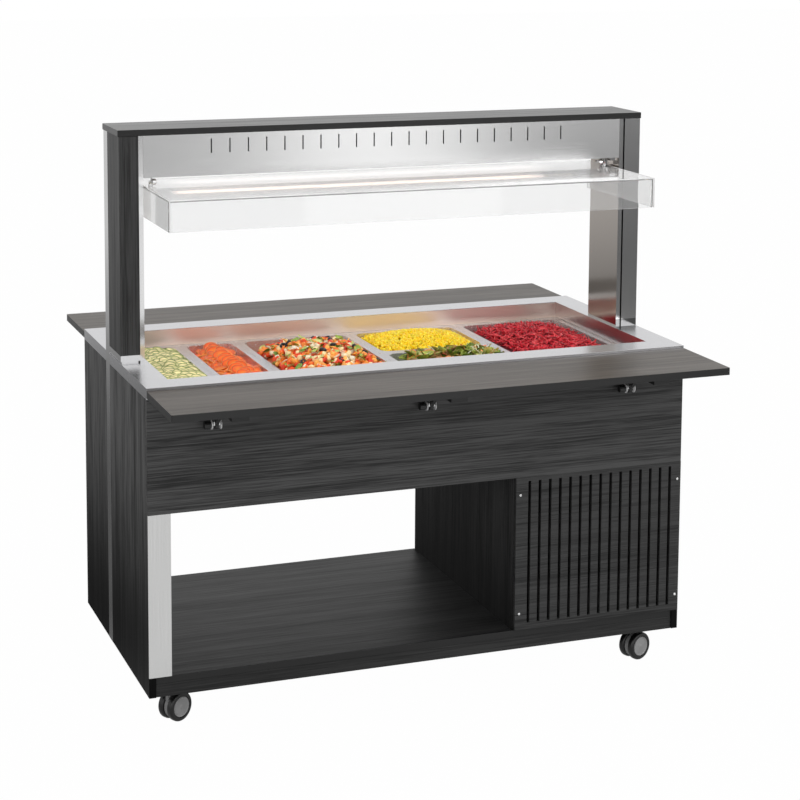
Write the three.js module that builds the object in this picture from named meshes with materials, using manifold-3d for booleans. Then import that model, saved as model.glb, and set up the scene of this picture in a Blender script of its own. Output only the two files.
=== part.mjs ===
// Mobile salad bar: a cooled well with six food pans in a laminate body on four twin-wheel casters,
// a folding tray shelf on each long side, and a lit canopy on two posts that carries a clear hood.
// Millimetres, +Z up. The origin is on the floor under the middle of the body, the front is at -Y.

import * as THREE from 'three';
import { mergeVertices } from 'three/addons/utils/BufferGeometryUtils.js';
import Module from 'manifold-3d';

const wasm = await Module();
wasm.setup();

// ---- driving dimensions -------------------------------------------------------------------

const gap = 0.3;                   // between pieces that pass each other
const sheet = 2;                   // folded stainless sheet
const board = 18;                  // laminated boards

const pitch = 326;                 // one full-size pan place along the well
const panLength = 530;
const panSpacing = 1;              // between neighbouring rims
const panDrop = 100;
const panRim = 14;
const panWall = 1.5;
const panCorner = 26;
const panDraft = 3;                // lean of a pan's sides over its depth
const rimCorner = 16;
const barWidth = 18;
const barHeight = 16;

const wellSide = 4;                // outer rim to well wall, at each end
const wellFront = 16;              // rim to well wall, at front and rear
const ledgeSide = 16;              // ledge under the pans' rims, at each end
const ledgeFront = 29;
const ledgeDrop = 46;              // counter top to ledge
const tankDrop = 170;              // ledge to tank floor
const foamWall = 30;

const counterSide = 71.5;          // well to the body's end
const counterFront = 77;           // well to the body's front and rear
const skirtHeight = 28;            // folded edge of the counter
const bodyHeight = 776;            // base underside to counter top
const apronDrop = 315;             // counter top to apron underside
const railHeight = 33;             // base frame under the floor board
const railSetback = 4;
const underThickness = 9;
const dividerPlace = 244;          // face of the compartment wall on the open side
const cornerPost = 57.5;
const cornerPostDepth = 40;

const panelThickness = 12;
const panelLap = 4;                // edge of the compartment wall left bare beside a grille
const grilleSlots = 15;
const grilleSlotWidth = 8;
const grilleMarginInner = 38;
const grilleMarginOuter = 32.5;
const grilleSlotFoot = 18;
const grilleSlotTop = 11;
const rearGrilleSlots = 12;
const rearGrilleMargin = 110;

const wheelRadius = 37.5;
const wheelWidth = 18;
const wheelShoulder = 3;
const wheelDish = 2.5;             // hub disc behind the tyre's side
const hubRadius = 26;
const wheelClearance = 1;          // between a wheel and the yoke's web
const yokeWidth = 11;
const yokeRadius = 32;
const yokeNeck = 9;
const casterHead = 23;             // wheel top to base underside
const headHeight = 13;
const headRadius = 20;
const headClearance = 0.5;
const casterTrail = 18;
const casterInsetX = 71.5;         // swivel axis from the body's end
const casterInsetY = 80;           // swivel axis from the body's front or rear
const casterPad = 36;
const stemRadius = 5.5;
const stemLength = 28;
const axleRadius = 5;

const postWidth = 62;
const postDepth = 172;
const columnWidth = 43;            // steel strip down the body's end
const columnReach = 46;            // the post's steel tube above it, from the end inwards
const columnWeb = 20;              // from the tube's outer side to the web that ties it to the liner
const stripDepth = 8;              // groove for that strip in the end panel
const postFlange = 11.5;
const coverThickness = 12;
const footHeight = 15;
const footRise = 5;
const footInset = 4;
const canopyRise = 594;            // counter top to canopy top
const canopyThickness = 16;
const canopyOverX = 2.5;
const canopyOverY = 1.5;
const fasciaHeight = 107;
const fasciaSlots = 21;
const fasciaSlotPitch = 48.8;
const fasciaSlotWidth = 3.5;
const fasciaSlotHeight = 36.5;
const fasciaSlotDrop = 13;         // canopy underside to slot top
const lampLength = 1140;
const lampWidth = 50;
const lampHeight = 20;
const lampLip = 8;

const hoodSideGap = 9.5;           // hood side to post
const hoodFront = 310.5;           // lip's outer face from the middle
const hoodRear = 80;
const hoodDrop = 26.5;             // fascia underside to hood top
const hoodLip = 78;
const acrylic = 5;
const pivotForward = 45;
const pivotLift = 11;              // pivot above the hood's top face
const pinRadius = 4;
const lugRadius = 10;
const lugWidth = 8;
const lugInset = 3;                // bracket end to lug
const knobRadius = 8;
const knobWidth = 8;
const bracketReach = 22;           // in from the post
const bracketFront = 30;           // bar ahead of the pivot
const bracketRear = 30;
const bracketRise = 7;
const bracketBar = 8;
const bracketBoss = 7;
const bracketStop = 8;             // finger that the hood's top rests against
const hoodCorner = 12;

const shelfDepth = 242;
const shelfDrop = 6.5;             // counter top to shelf top
const shelfGap = 0.8;              // counter edge to shelf
const shelfCorner = 4;
const armSpan = 560;               // outer arms from the middle
const pivotOut = 17;               // arm pivot in front of the apron
const pivotDrop = 73.5;            // shelf underside to arm pivot
const armThickness = 8;
const armReach = 185;
const armTip = 8;
const armBoss = 11;
const armElbow = [40, 30];
const shoeOut = 115;
const shoeLength = 30;
const shoeWidth = 42;
const shoeHeight = 36;
const shelfRail = 4;
const shelfRailDrop = 10;
const shelfRailHeight = 40;
const shelfRailEnd = 87.5;
const earThickness = 3;
const earGap = 1;
const earRadius = 9;
const armPin = 5;
const bushRadius = 9;
const bushLength = 16;
const bushGap = 6;                 // ear to bush
const pinEnd = 4;                  // pin past the other ear

const condenserWidth = 300;
const condenserHeight = 280;
const condenserDepth = 56;
const condenserInset = 46;         // from the front grille
const fanRadius = 104;
const fanTipGap = 6;
const fanHub = 22;
const fanDepth = 24;
const fanBlades = 5;
const bladeThickness = 3;
const bladeChord = 40;
const bladeAngle = 32;             // degrees
const shroudWall = 4;
const shroudDepth = 46;
const fanRun = 4;                  // condenser core to fan
const strutThickness = 6;
const strutHeight = 20;
const motorRadius = 36;
const motorLength = 50;
const shaftRadius = 4;
const compressorRadius = 80;
const compressorHeight = 190;
const compressorBase = 6;
const compressorFlange = 12;
const compressorBack = 190;        // axis from the rear face

const controlWidth = 170;
const controlHeight = 64;
const controlPlate = 2.5;
const controlLap = 6;
const controlRise = 96;            // apron underside to control plate
const rockerWidth = 20;
const rockerHalf = 12.5;
const rockerDepth = 8;
const rockerInset = 3;             // pivot behind the control plate's face
const rockerTilt = 8;              // degrees
const rockerPlace = 65;            // outer rocker from the control plate's middle
const rockerSpacing = 27;
const recessDepth = 11.5;
const recessFloor = 3;
const recessGap = 0.5;
const keySize = 11;
const keyProud = 1.8;
const keyDepth = 8;
const keyPlace = 14;               // outer key from the control plate's middle
const keySpacing = 18;
const displayPlace = 44;
const displayWidth = 44;
const displayHeight = 22;
const displayDepth = 1.2;
const inletWidth = 30;
const inletHeight = 24;
const inletFlange = 5;
const inletPlate = 2.5;
const inletDepth = 24;
const inletWall = 3;
const inletPin = 2;
const inletPinStep = 7;            // outer pins from the middle
const inletPinRise = 2;
const inletPinInset = 4;           // pin ends behind the inlet's face
const inletFromEnd = 58;
const inletRise = 56;

const drainInset = 68;             // drain axis from the compartment wall
const drainBack = 153;             // drain axis from the rear face
const drainRadius = 17;
const drainWall = 2.5;
const drainDrop = 184;             // tank floor to pipe end
const valveRadius = 21;
const valveLength = 62;
const valveFoot = 8;               // pipe left bare under the valve
const valveBoss = 8;
const valveBossLength = 33;
const leverLength = 76;
const leverWidth = 15;
const leverThickness = 4;
const leverPin = 4;
const leverNut = 7;

// ---- derived places -----------------------------------------------------------------------

const wellX = 2 * pitch + wellSide;
const wellY = panLength / 2 + wellFront;
const tankX = wellX - ledgeSide;
const tankY = wellY - ledgeFront;
const endX = wellX + counterSide;
const faceY = wellY + counterFront;
const innerX = endX - board;
const innerY = faceY - board;
const baseZ = 2 * wheelRadius + casterHead;
const floorZ = baseZ + railHeight;
const deckZ = floorZ + board;
const counterZ = baseZ + bodyHeight;
const apronZ = counterZ - apronDrop;
const skirtZ = counterZ - skirtHeight;
const ledgeZ = counterZ - ledgeDrop;
const tankZ = ledgeZ - tankDrop;
const canopyTopZ = counterZ + canopyRise;
const canopyZ = canopyTopZ - canopyThickness;
const channelZ = canopyZ - fasciaHeight;
const postX = endX - postWidth;
const postY = postDepth / 2;
const columnY = postY - columnWidth;
const hoodX = postX - hoodSideGap;
const hoodZ = channelZ - hoodDrop;
const hoodPivotZ = hoodZ + pivotLift;
const shelfTopZ = counterZ - shelfDrop;
const shelfZ = shelfTopZ - board;
const armZ = shelfZ - pivotDrop;
const armY = faceY + pivotOut;
const grilleX = dividerPlace + panelLap;
const compartmentX = (dividerPlace + board + innerX) / 2;
const controlZ = apronZ + controlRise + controlHeight / 2;
const controlY = faceY + controlPlate;
const inletX = endX - inletFromEnd;
const inletZ = deckZ + inletRise;
const inletY = faceY + inletPlate;
const condenserY = condenserInset + panelThickness + condenserDepth - faceY;
const fanY = condenserY + fanRun + fanDepth / 2;
const fanZ = deckZ + condenserHeight / 2;
const compressorY = faceY - compressorBack;
const valveZ = tankZ - drainDrop + valveLength / 2 + valveFoot;
const rockerPlaces = [-rockerPlace, rockerSpacing - rockerPlace];
const keyPlaces = [keySpacing - keyPlace, -keyPlace];
const drainX = dividerPlace + board + drainInset;
const drainY = faceY - drainBack;
const leverY = drainY - valveBossLength - gap - leverThickness / 2;

// ---- materials ----------------------------------------------------------------------------

const finish = (color, roughness, metalness) => (
  new THREE.MeshStandardMaterial({ color, roughness, metalness })
);
const laminate = finish(0x2b2b2c, 0.5, 0);
const shelfLaminate = finish(0x6f6b66, 0.45, 0);
const steel = finish(0xbfc0c0, 0.28, 1);
const panSteel = finish(0xcfcfcc, 0.2, 1);
const darkSteel = finish(0x3a3b3c, 0.45, 0.6);
const blackPlastic = finish(0x18181a, 0.5, 0);
const greyPlastic = finish(0x8c8d8f, 0.45, 0);
const tyreRubber = finish(0x141415, 0.7, 0);
const foam = finish(0x8f8a78, 0.9, 0);
const glow = finish(0xfff1d8, 0.4, 0);
const clear = finish(0xe6ecec, 0.05, 0);
clear.transparent = true;
clear.opacity = 0.3;

// ---- shape helpers ------------------------------------------------------------------------

function block(x0, x1, y0, y1, z0, z1) {
  const geometry = new THREE.BoxGeometry(x1 - x0, y1 - y0, z1 - z0);
  return geometry.translate((x0 + x1) / 2, (y0 + y1) / 2, (z0 + z1) / 2);
}

// Box about the vertical axis, from z0 to z1.
const slab = (halfX, halfY, z0, z1) => block(-halfX, halfX, -halfY, halfY, z0, z1);

const polygon = points => new THREE.Shape(points.map(([a, b]) => new THREE.Vector2(a, b)));

// Outline in X and Y, extruded upwards.
function upright(shape, z0, z1, curveSegments = 5) {
  const geometry = new THREE.ExtrudeGeometry(shape, { depth: z1 - z0, bevelEnabled: false, curveSegments });
  return geometry.translate(0, 0, z0);
}

// Outline in Y and Z, extruded along X.
function along(shape, x0, x1, curveSegments = 8) {
  const geometry = new THREE.ExtrudeGeometry(shape, { depth: x1 - x0, bevelEnabled: false, curveSegments });
  return geometry.applyMatrix4(new THREE.Matrix4().set(0, 0, 1, x0, 1, 0, 0, 0, 0, 1, 0, 0, 0, 0, 0, 1));
}

// Round bar along X, Y or Z, with its axis at (a, b) in the other two.
function rod(radius, axis, from, to, a, b, sides = 20) {
  const geometry = new THREE.CylinderGeometry(radius, radius, to - from, sides);
  const middle = (from + to) / 2;
  if (axis === 'x') return geometry.rotateZ(-Math.PI / 2).translate(middle, a, b);
  if (axis === 'y') return geometry.translate(a, middle, b);
  return geometry.rotateX(Math.PI / 2).translate(a, b, middle);
}

function roundedRect(width, depth, radius) {
  const x = width / 2;
  const y = depth / 2;
  const shape = new THREE.Shape();
  shape.moveTo(x, y - radius);
  shape.absarc(x - radius, y - radius, radius, 0, Math.PI / 2);
  shape.absarc(radius - x, y - radius, radius, Math.PI / 2, Math.PI);
  shape.absarc(radius - x, radius - y, radius, Math.PI, 1.5 * Math.PI);
  shape.absarc(x - radius, radius - y, radius, 1.5 * Math.PI, 2 * Math.PI);
  return shape;
}

function solid(geometry) {
  const bare = new THREE.BufferGeometry();
  bare.setAttribute('position', geometry.getAttribute('position').clone());
  if (geometry.index) bare.setIndex(geometry.index.clone());
  const merged = mergeVertices(bare, 1e-4);
  const vertProperties = new Float32Array(merged.getAttribute('position').array);
  const triVerts = new Uint32Array(merged.index.array);
  return new wasm.Manifold(new wasm.Mesh({ numProp: 3, vertProperties, triVerts }));
}

const join = (...geometries) => geometries.map(solid).reduce((sum, piece) => sum.add(piece));
const cut = (base, ...geometries) => (
  geometries.map(solid).reduce((rest, piece) => rest.subtract(piece), base)
);

function surface(manifold) {
  const mesh = manifold.getMesh();
  const geometry = new THREE.BufferGeometry();
  geometry.setAttribute('position', new THREE.BufferAttribute(new Float32Array(mesh.vertProperties), 3));
  geometry.setIndex(new THREE.BufferAttribute(new Uint32Array(mesh.triVerts), 1));
  geometry.computeVertexNormals();
  return geometry;
}

// The same piece turned half a turn about the vertical, to the other end and side.
const turned = geometry => geometry.clone().scale(-1, -1, 1);

// The same piece mirrored front to back.
function mirrored(geometry) {
  const copy = surface(solid(geometry)).scale(1, -1, 1);
  copy.index.array.reverse();
  return copy;
}

const group = new THREE.Group();

function place(name, geometry, material, parent = group) {
  const mesh = new THREE.Mesh(geometry, material);
  mesh.name = name;
  parent.add(mesh);
}

// ---- body ---------------------------------------------------------------------------------

// Each caster's name, swivel axis, turn in degrees and the side its wheels trail to.
const casters = [
  ['front_left', -1, -1, 30, 1],
  ['front_right', 1, -1, 20, -1],
  ['rear_left', -1, 1, 24, 1],
  ['rear_right', 1, 1, 16, -1],
].map(([name, sideX, sideY, turn, trail]) => ({
  name, turn, trail, x: sideX * (endX - casterInsetX), y: sideY * (faceY - casterInsetY),
}));

function baseFrame() {
  const outerY = faceY - railSetback;
  const padX = endX - casterInsetX - casterPad;
  const padY = faceY - casterInsetY - casterPad;
  const frame = solid(slab(innerX, outerY, baseZ, floorZ));
  const between = slab(padX, outerY - board, baseZ - 1, floorZ + 1);
  const across = slab(innerX - board, padY, baseZ - 1, floorZ + 1);
  const bore = stemRadius + headClearance;
  const bores = casters.map(({ x, y }) => rod(bore, 'z', baseZ - 1, floorZ + 1, x, y, 12));
  return surface(cut(frame, between, across, ...bores));
}

function endPanel(frontStep) {
  const face = faceY - frontStep;
  const outline = polygon([
    [-faceY, baseZ], [faceY, baseZ], [faceY, deckZ], [face, deckZ], [face, apronZ], [innerY, apronZ],
    [innerY, skirtZ], [-innerY, skirtZ], [-innerY, apronZ], [-face, apronZ], [-face, deckZ], [-faceY, deckZ],
  ]);
  const groove = block(-endX - 1, stripDepth - endX, columnY, postY, baseZ - 1, skirtZ + 1);
  return surface(cut(solid(along(outline, -endX, -innerX)), groove));
}

// Folded stainless corner between floor board and apron, at the open end of the lower shelf.
function cornerCover() {
  const outline = polygon([
    [-endX, -faceY], [cornerPost - endX, -faceY], [cornerPost - endX, cornerPostDepth - faceY],
    [-innerX, cornerPostDepth - faceY], [-innerX, sheet - faceY], [-endX, sheet - faceY],
  ]);
  return upright(outline, deckZ, apronZ);
}

function grillePanel(slots, marginOuter) {
  const step = (endX - grilleX - grilleMarginInner - marginOuter) / (slots - 1);
  const panel = solid(block(grilleX, endX, -faceY, panelThickness - faceY, deckZ, apronZ));
  const cutters = Array.from({ length: slots }, (_, i) => {
    const x = grilleX + grilleMarginInner + i * step;
    const half = grilleSlotWidth / 2;
    return block(x - half, x + half, -faceY - 1, panelThickness - faceY + 1,
      deckZ + grilleSlotFoot, apronZ - grilleSlotTop);
  });
  return surface(cut(panel, ...cutters));
}

// Same panel on the rear, with the opening for the power inlet.
function rearGrille() {
  const halfX = inletWidth / 2 + gap;
  const halfZ = inletHeight / 2 + gap;
  const panel = mirrored(grillePanel(rearGrilleSlots, rearGrilleMargin));
  return surface(cut(solid(panel), block(inletX - halfX, inletX + halfX, innerY, faceY + 1,
    inletZ - halfZ, inletZ + halfZ)));
}

function rearApron() {
  const apron = solid(block(-endX, endX, innerY, faceY, apronZ, skirtZ));
  const halfX = controlWidth / 2 - controlLap + gap;
  const halfZ = controlHeight / 2 - controlLap + gap;
  return surface(cut(apron, block(compartmentX - halfX, compartmentX + halfX, innerY - 1, faceY + 1,
    controlZ - halfZ, controlZ + halfZ)));
}

function underPanel() {
  const top = apronZ + underThickness;
  const panel = solid(slab(innerX, innerY, apronZ, top));
  return surface(cut(panel, rod(drainRadius + 1, 'z', apronZ - 1, top + 1, drainX, drainY)));
}

place('base_frame', baseFrame(), darkSteel);
place('floor_board', slab(innerX, faceY - railSetback, floorZ, deckZ), laminate);
place('side_panel_left', endPanel(sheet), laminate);
place('side_panel_right', turned(endPanel(panelThickness)), laminate);
place('divider_panel', block(dividerPlace, dividerPlace + board,
  panelThickness - faceY, faceY - panelThickness, deckZ, apronZ), laminate);
place('under_panel', underPanel(), laminate);
place('apron_front', block(-endX, endX, -faceY, -innerY, apronZ, skirtZ), laminate);
place('apron_rear', rearApron(), laminate);
place('corner_post_front', cornerCover(), steel);
place('corner_post_rear', mirrored(cornerCover()), steel);
place('grille_front', grillePanel(grilleSlots, grilleMarginOuter), laminate);
place('grille_rear', rearGrille(), laminate);

// ---- counter, well and pans ---------------------------------------------------------------

// Counter sheet, folded down round its edge and, deeper, round the well.
function counterTop() {
  const shell = solid(slab(endX, faceY, skirtZ, counterZ));
  const under = slab(endX - sheet, faceY - sheet, skirtZ - 1, counterZ - sheet);
  const wall = slab(wellX + sheet, wellY + sheet, ledgeZ + gap, counterZ - sheet / 2);
  const mouth = slab(wellX, wellY, ledgeZ - 1, counterZ + 1);
  const notch = block(-endX - 1, sheet + gap - endX, columnY - gap, postY + gap, skirtZ - 1, counterZ + 1);
  const folded = cut(shell, under).add(solid(wall));
  return surface(cut(folded, mouth, notch, turned(notch)));
}

// Walls of the tank, with the ledge round their top that the pans stand on.
function wellTank() {
  const outside = join(
    slab(wellX + sheet, wellY + sheet, ledgeZ - sheet, ledgeZ),
    slab(tankX + sheet, tankY + sheet, tankZ + gap, ledgeZ),
  );
  return surface(cut(outside, slab(tankX, tankY, tankZ, ledgeZ + 1)));
}

function tankFloor() {
  const bottom = tankZ - sheet;
  const hole = rod(drainRadius - drainWall, 'z', bottom - 1, tankZ + 1, drainX, drainY);
  return surface(cut(solid(slab(tankX + sheet, tankY + sheet, bottom, tankZ)), hole));
}

// Pipe under the tank's drain hole, with the valve's body and the pin its lever turns on.
function drainPipe() {
  const top = tankZ - sheet - gap;
  const bottom = tankZ - drainDrop;
  const pivot = drainY - valveBossLength;
  const nut = pivot - leverThickness - 2 * gap;
  const outside = join(
    rod(drainRadius, 'z', bottom, top, drainX, drainY),
    rod(valveRadius, 'z', valveZ - valveLength / 2, valveZ + valveLength / 2, drainX, drainY),
    rod(valveBoss, 'y', pivot, drainY, drainX, valveZ, 16),
    rod(leverPin, 'y', nut - 1, drainY, drainX, valveZ, 12),
    rod(leverNut, 'y', nut - leverThickness / 2, nut, drainX, valveZ, 6),
  );
  return surface(cut(outside, rod(drainRadius - drainWall, 'z', bottom - 1, top + 1, drainX, drainY)));
}

function drainLever() {
  const round = leverWidth / 2;
  const y = leverThickness / 2;
  const lever = join(
    block(0, leverLength - round, -y, y, -round, round),
    rod(round, 'y', -y, y, 0, 0),
    rod(round, 'y', -y, y, leverLength - round, 0),
  );
  return surface(cut(lever, rod(leverPin + gap, 'y', -y - 1, y + 1, 0, 0, 12)));
}

function foamShell() {
  const outside = solid(slab(tankX + sheet + foamWall, tankY + sheet + foamWall, tankZ - sheet - foamWall,
    ledgeZ - sheet));
  const inside = slab(tankX + sheet, tankY + sheet, tankZ - sheet, ledgeZ);
  return surface(cut(outside, inside, rod(drainRadius + gap, 'z', apronZ, tankZ, drainX, drainY)));
}

// Rounded box whose sides lean in towards the bottom.
function tub(width, depth, radius, z0, z1) {
  const geometry = upright(roundedRect(width, depth, radius), z0, z1);
  const position = geometry.getAttribute('position');
  for (let i = 0; i < position.count; i++) {
    if (position.getZ(i) > (z0 + z1) / 2) continue;
    position.setX(i, position.getX(i) - panDraft * Math.sign(position.getX(i)));
    position.setY(i, position.getY(i) - panDraft * Math.sign(position.getY(i)));
  }
  return geometry;
}

// Pan about its own middle, with the rim's underside at zero.
function pan(width, length) {
  const bodyWidth = width - 2 * panRim;
  const bodyLength = length - 2 * panRim;
  const outside = join(
    upright(roundedRect(width, length, rimCorner), 0, panWall),
    tub(bodyWidth, bodyLength, panCorner, panWall - panDrop, panWall),
  );
  const inside = tub(bodyWidth - 2 * panWall, bodyLength - 2 * panWall, panCorner - panWall,
    2 * panWall - panDrop, panWall + 1);
  return surface(cut(outside, inside));
}

// Frame under the rims of the two half-size pans: a bar at each side and one where they meet.
function panBars() {
  const half = barWidth / 2;
  const low = ledgeZ - barHeight;
  return surface(join(
    block(-half, half, gap - tankY, tankY - gap, low, ledgeZ),
    block(pitch - half, pitch + half, gap - tankY, tankY - gap, low, ledgeZ),
    block(0, pitch, -half, half, low, ledgeZ),
  ));
}

function placePan(name, geometry, x, y) {
  const nest = new THREE.Group();
  nest.position.set(x, y, ledgeZ);
  group.add(nest);
  place(name, geometry, panSteel, nest);
}

const panWidth = pitch - panSpacing;
const halfWidth = panWidth / 2 - panSpacing / 2;
const halfLength = (panLength - panSpacing) / 2;
const fullPan = pan(panWidth, panLength);
const longPan = pan(halfWidth, panLength);
const halfPan = pan(panWidth, halfLength);
const sideStep = (halfWidth + panSpacing) / 2;
const lengthStep = (halfLength + panSpacing) / 2;

place('counter_top', counterTop(), steel);
place('well_tank', wellTank(), steel);
place('tank_floor', tankFloor(), steel);
place('drain_pipe', drainPipe(), steel);
place('insulation', foamShell(), foam);
placePan('pan_1', longPan, -1.5 * pitch - sideStep, 0);
placePan('pan_2', longPan, -1.5 * pitch + sideStep, 0);
placePan('pan_3', fullPan, -pitch / 2, 0);
placePan('pan_4', halfPan, pitch / 2, lengthStep);
placePan('pan_5', halfPan, pitch / 2, -lengthStep);
placePan('pan_6', fullPan, 1.5 * pitch, 0);
place('pan_bars', panBars(), steel);

const lever = new THREE.Group();
lever.position.set(drainX, leverY, valveZ);
group.add(lever);
place('drain_lever', drainLever(), steel, lever);

// ---- posts, canopy and hood ---------------------------------------------------------------

// Steel frame of the left post: liner with a flange at front and rear, tube with the strip that
// runs on down the body's end, and the foot under the cover.
function postFrame() {
  const flange = postX + postFlange;
  const tubeX = columnReach - endX;
  const tube = cut(
    solid(block(-endX, tubeX, columnY, postY, counterZ, canopyZ)),
    block(sheet - endX, tubeX - sheet, columnY + sheet, postY - sheet, counterZ - 1, canopyZ + 1),
  );
  const strip = cut(
    solid(block(-endX, stripDepth - endX - gap, columnY, postY, baseZ, skirtZ)),
    block(sheet - endX, stripDepth - endX, columnY + sheet, postY - sheet, baseZ - 1, skirtZ + 1),
  );
  const footTop = counterZ + footRise + footHeight;
  return join(
    block(-postX - sheet, -postX, -postY, postY, counterZ, canopyZ),
    block(-flange, -postX, -postY, sheet - postY, counterZ, canopyZ),
    block(-flange, -postX, postY - sheet, postY, counterZ, canopyZ),
    block(tubeX - 1, -postX, columnY + columnWeb, columnY + columnWeb + sheet, counterZ, canopyZ),
    block(-endX, sheet - endX, columnY, postY, skirtZ - 1, counterZ + 1),
    block(footInset - endX, -flange - footInset, footInset - postY, columnY + 1, counterZ, footTop - 1),
    block(-endX, -flange, -postY, columnY + 1, counterZ + footRise, footTop),
  ).add(tube).add(strip);
}

// Bracket, pin and knob that carry one end of the hood; side is -1 on the left and 1 on the right.
function hoodBracket(side) {
  const y = -pivotForward;
  const end = postX - bracketReach;
  const knob = end - lugInset - lugWidth - gap;
  const across = (a, b) => [Math.min(side * a, side * b), Math.max(side * a, side * b)];
  const [bar0, bar1] = across(end, postX + sheet / 2);
  const [pin0, pin1] = across(knob - 1, end + 1);
  const [knob0, knob1] = across(knob - knobWidth, knob);
  const barZ = hoodPivotZ + bracketRise;
  const boss = bracketBoss;
  const rear = y + bracketRear;
  return join(
    block(bar0, bar1, y - bracketFront, rear, barZ, barZ + bracketBar),
    block(bar0, bar1, y - boss, y + boss, hoodPivotZ - boss, barZ + 1),
    block(bar0, bar1, rear - bracketStop, rear, hoodZ + gap, barZ + 1),
    rod(pinRadius, 'x', pin0, pin1, y, hoodPivotZ, 12),
    rod(knobRadius, 'x', knob0, knob1, y, hoodPivotZ, 16),
  );
}

function postCover() {
  const front = -postX - postFlange - gap;
  const outline = polygon([
    [-endX, -postY], [front, -postY], [front, coverThickness - postY],
    [coverThickness - endX, coverThickness - postY],
    [coverThickness - endX, columnY - gap], [-endX, columnY - gap],
  ]);
  return upright(outline, counterZ + footRise + footHeight, canopyZ);
}

function canopyChannel() {
  const end = postX - gap;
  const channel = solid(slab(end, postY, channelZ, canopyZ));
  const inside = slab(end + 1, postY - sheet, channelZ + sheet, canopyZ + 1);
  const mouth = slab(lampLength / 2, lampWidth / 2, channelZ - 1, channelZ + sheet + 1);
  const top = canopyZ - fasciaSlotDrop;
  const half = fasciaSlotWidth / 2;
  const slots = Array.from({ length: fasciaSlots }, (_, i) => {
    const x = (i - (fasciaSlots - 1) / 2) * fasciaSlotPitch;
    return block(x - half, x + half, -postY - 1, postY + 1, top - fasciaSlotHeight, top);
  });
  return surface(cut(channel, inside, mouth, ...slots));
}

function lampBody() {
  const x = lampLength / 2;
  const y = lampWidth / 2;
  const top = channelZ + sheet;
  return surface(join(
    slab(x - gap, y - gap, channelZ, top + 1),
    slab(x + lampLip, y + lampLip, top, top + lampHeight),
  ));
}

// Outline of the hood in plan, open corners at the rear and rounded ones at the front.
function hoodOutline(inset, rear) {
  const x = hoodX - inset;
  const front = inset - hoodFront;
  const radius = hoodCorner - inset;
  const shape = new THREE.Shape();
  shape.moveTo(x, rear);
  shape.lineTo(-x, rear);
  shape.lineTo(-x, front + radius);
  shape.absarc(radius - x, front + radius, radius, Math.PI, 1.5 * Math.PI);
  shape.absarc(x - radius, front + radius, radius, 1.5 * Math.PI, 2 * Math.PI);
  return shape;
}

// Built about its pivot.
function hood() {
  const top = -pivotLift;
  const y = pivotForward;
  const lugEnd = postX - bracketReach - lugInset;
  const shell = cut(
    solid(upright(hoodOutline(0, hoodRear), top - hoodLip, top, 6).translate(0, y, 0)),
    upright(hoodOutline(acrylic, hoodRear + 1), top - hoodLip - 1, top - acrylic, 6).translate(0, y, 0),
  );
  const lugs = [[-lugEnd, lugWidth - lugEnd], [lugEnd - lugWidth, lugEnd]].map(([x0, x1]) => join(
    rod(lugRadius, 'x', x0, x1, 0, 0, 24),
    block(x0, x1, -lugRadius, lugRadius, top - 1, 0),
  ));
  const bore = rod(pinRadius + gap, 'x', -postX, postX, 0, 0, 12);
  return surface(cut(lugs.reduce((sum, lug) => sum.add(lug), shell), bore));
}

const frameLeft = postFrame();
place('post_frame_left', surface(frameLeft.add(hoodBracket(-1))), steel);
place('post_frame_right', surface(solid(turned(surface(frameLeft))).add(hoodBracket(1))), steel);
place('post_cover_left', postCover(), laminate);
place('post_cover_right', turned(postCover()), laminate);
place('canopy_board', slab(endX + canopyOverX, postY + canopyOverY, canopyZ, canopyTopZ), laminate);
place('canopy_channel', canopyChannel(), steel);
place('lamp', lampBody(), glow);

const hoodTurn = new THREE.Group();
hoodTurn.position.set(0, -pivotForward, hoodPivotZ);
group.add(hoodTurn);
place('sneeze_hood', hood(), clear, hoodTurn);

// ---- tray shelves -------------------------------------------------------------------------

const armPlaces = [-armSpan, 0, armSpan];

function shelfBoard() {
  const depth = shelfDepth - shelfGap;
  return upright(roundedRect(2 * endX, depth, shelfCorner), shelfZ, shelfTopZ)
    .translate(0, -faceY - shelfGap - depth / 2, 0);
}

// Front arm in Y and Z about its pivot, with the shoe beside it under the shelf.
function shelfArm(x) {
  const outline = polygon([
    [armBoss, 0], [armBoss, pivotDrop], [-armReach, pivotDrop], [-armReach, pivotDrop - armTip],
    [-armElbow[0], armElbow[1]], [-armBoss, 0],
  ]);
  const half = armThickness / 2;
  const arm = join(
    along(outline, x - half, x + half),
    rod(armBoss, 'x', x - half, x + half, 0, 0),
    block(x + half - 1, x + half + shoeWidth, -shoeOut - shoeLength / 2, shoeLength / 2 - shoeOut,
      pivotDrop - shoeHeight, pivotDrop),
  );
  const bored = cut(arm, rod(armPin + gap, 'x', x - half - 1, x + half + 1, 0, 0, 12));
  return surface(bored).translate(0, -armY, armZ);
}

// Front rail on the apron, with a pair of ears, a pin and a bush for each arm.
function shelfRailBar() {
  const top = shelfZ - shelfRailDrop;
  const face = -faceY - shelfRail;
  const ear = polygon([
    [-faceY, armZ - earRadius], [-faceY, top], [face, top], [-armY - earRadius, armZ + earRadius],
    [-armY - earRadius, armZ], [-armY, armZ - earRadius],
  ]);
  const inner = armThickness / 2 + earGap;
  const outer = inner + earThickness;
  const fittings = armPlaces.flatMap(x => [
    along(ear, x - outer, x - inner),
    along(ear, x + inner, x + outer),
    rod(armPin, 'x', x - outer - bushGap - bushLength, x + outer + pinEnd, -armY, armZ, 12),
    rod(bushRadius, 'x', x - outer - bushGap - bushLength, x - outer - bushGap, -armY, armZ),
  ]);
  const end = endX - shelfRailEnd;
  return surface(join(block(-end, end, face, -faceY, top - shelfRailHeight, top), ...fittings));
}

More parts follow.
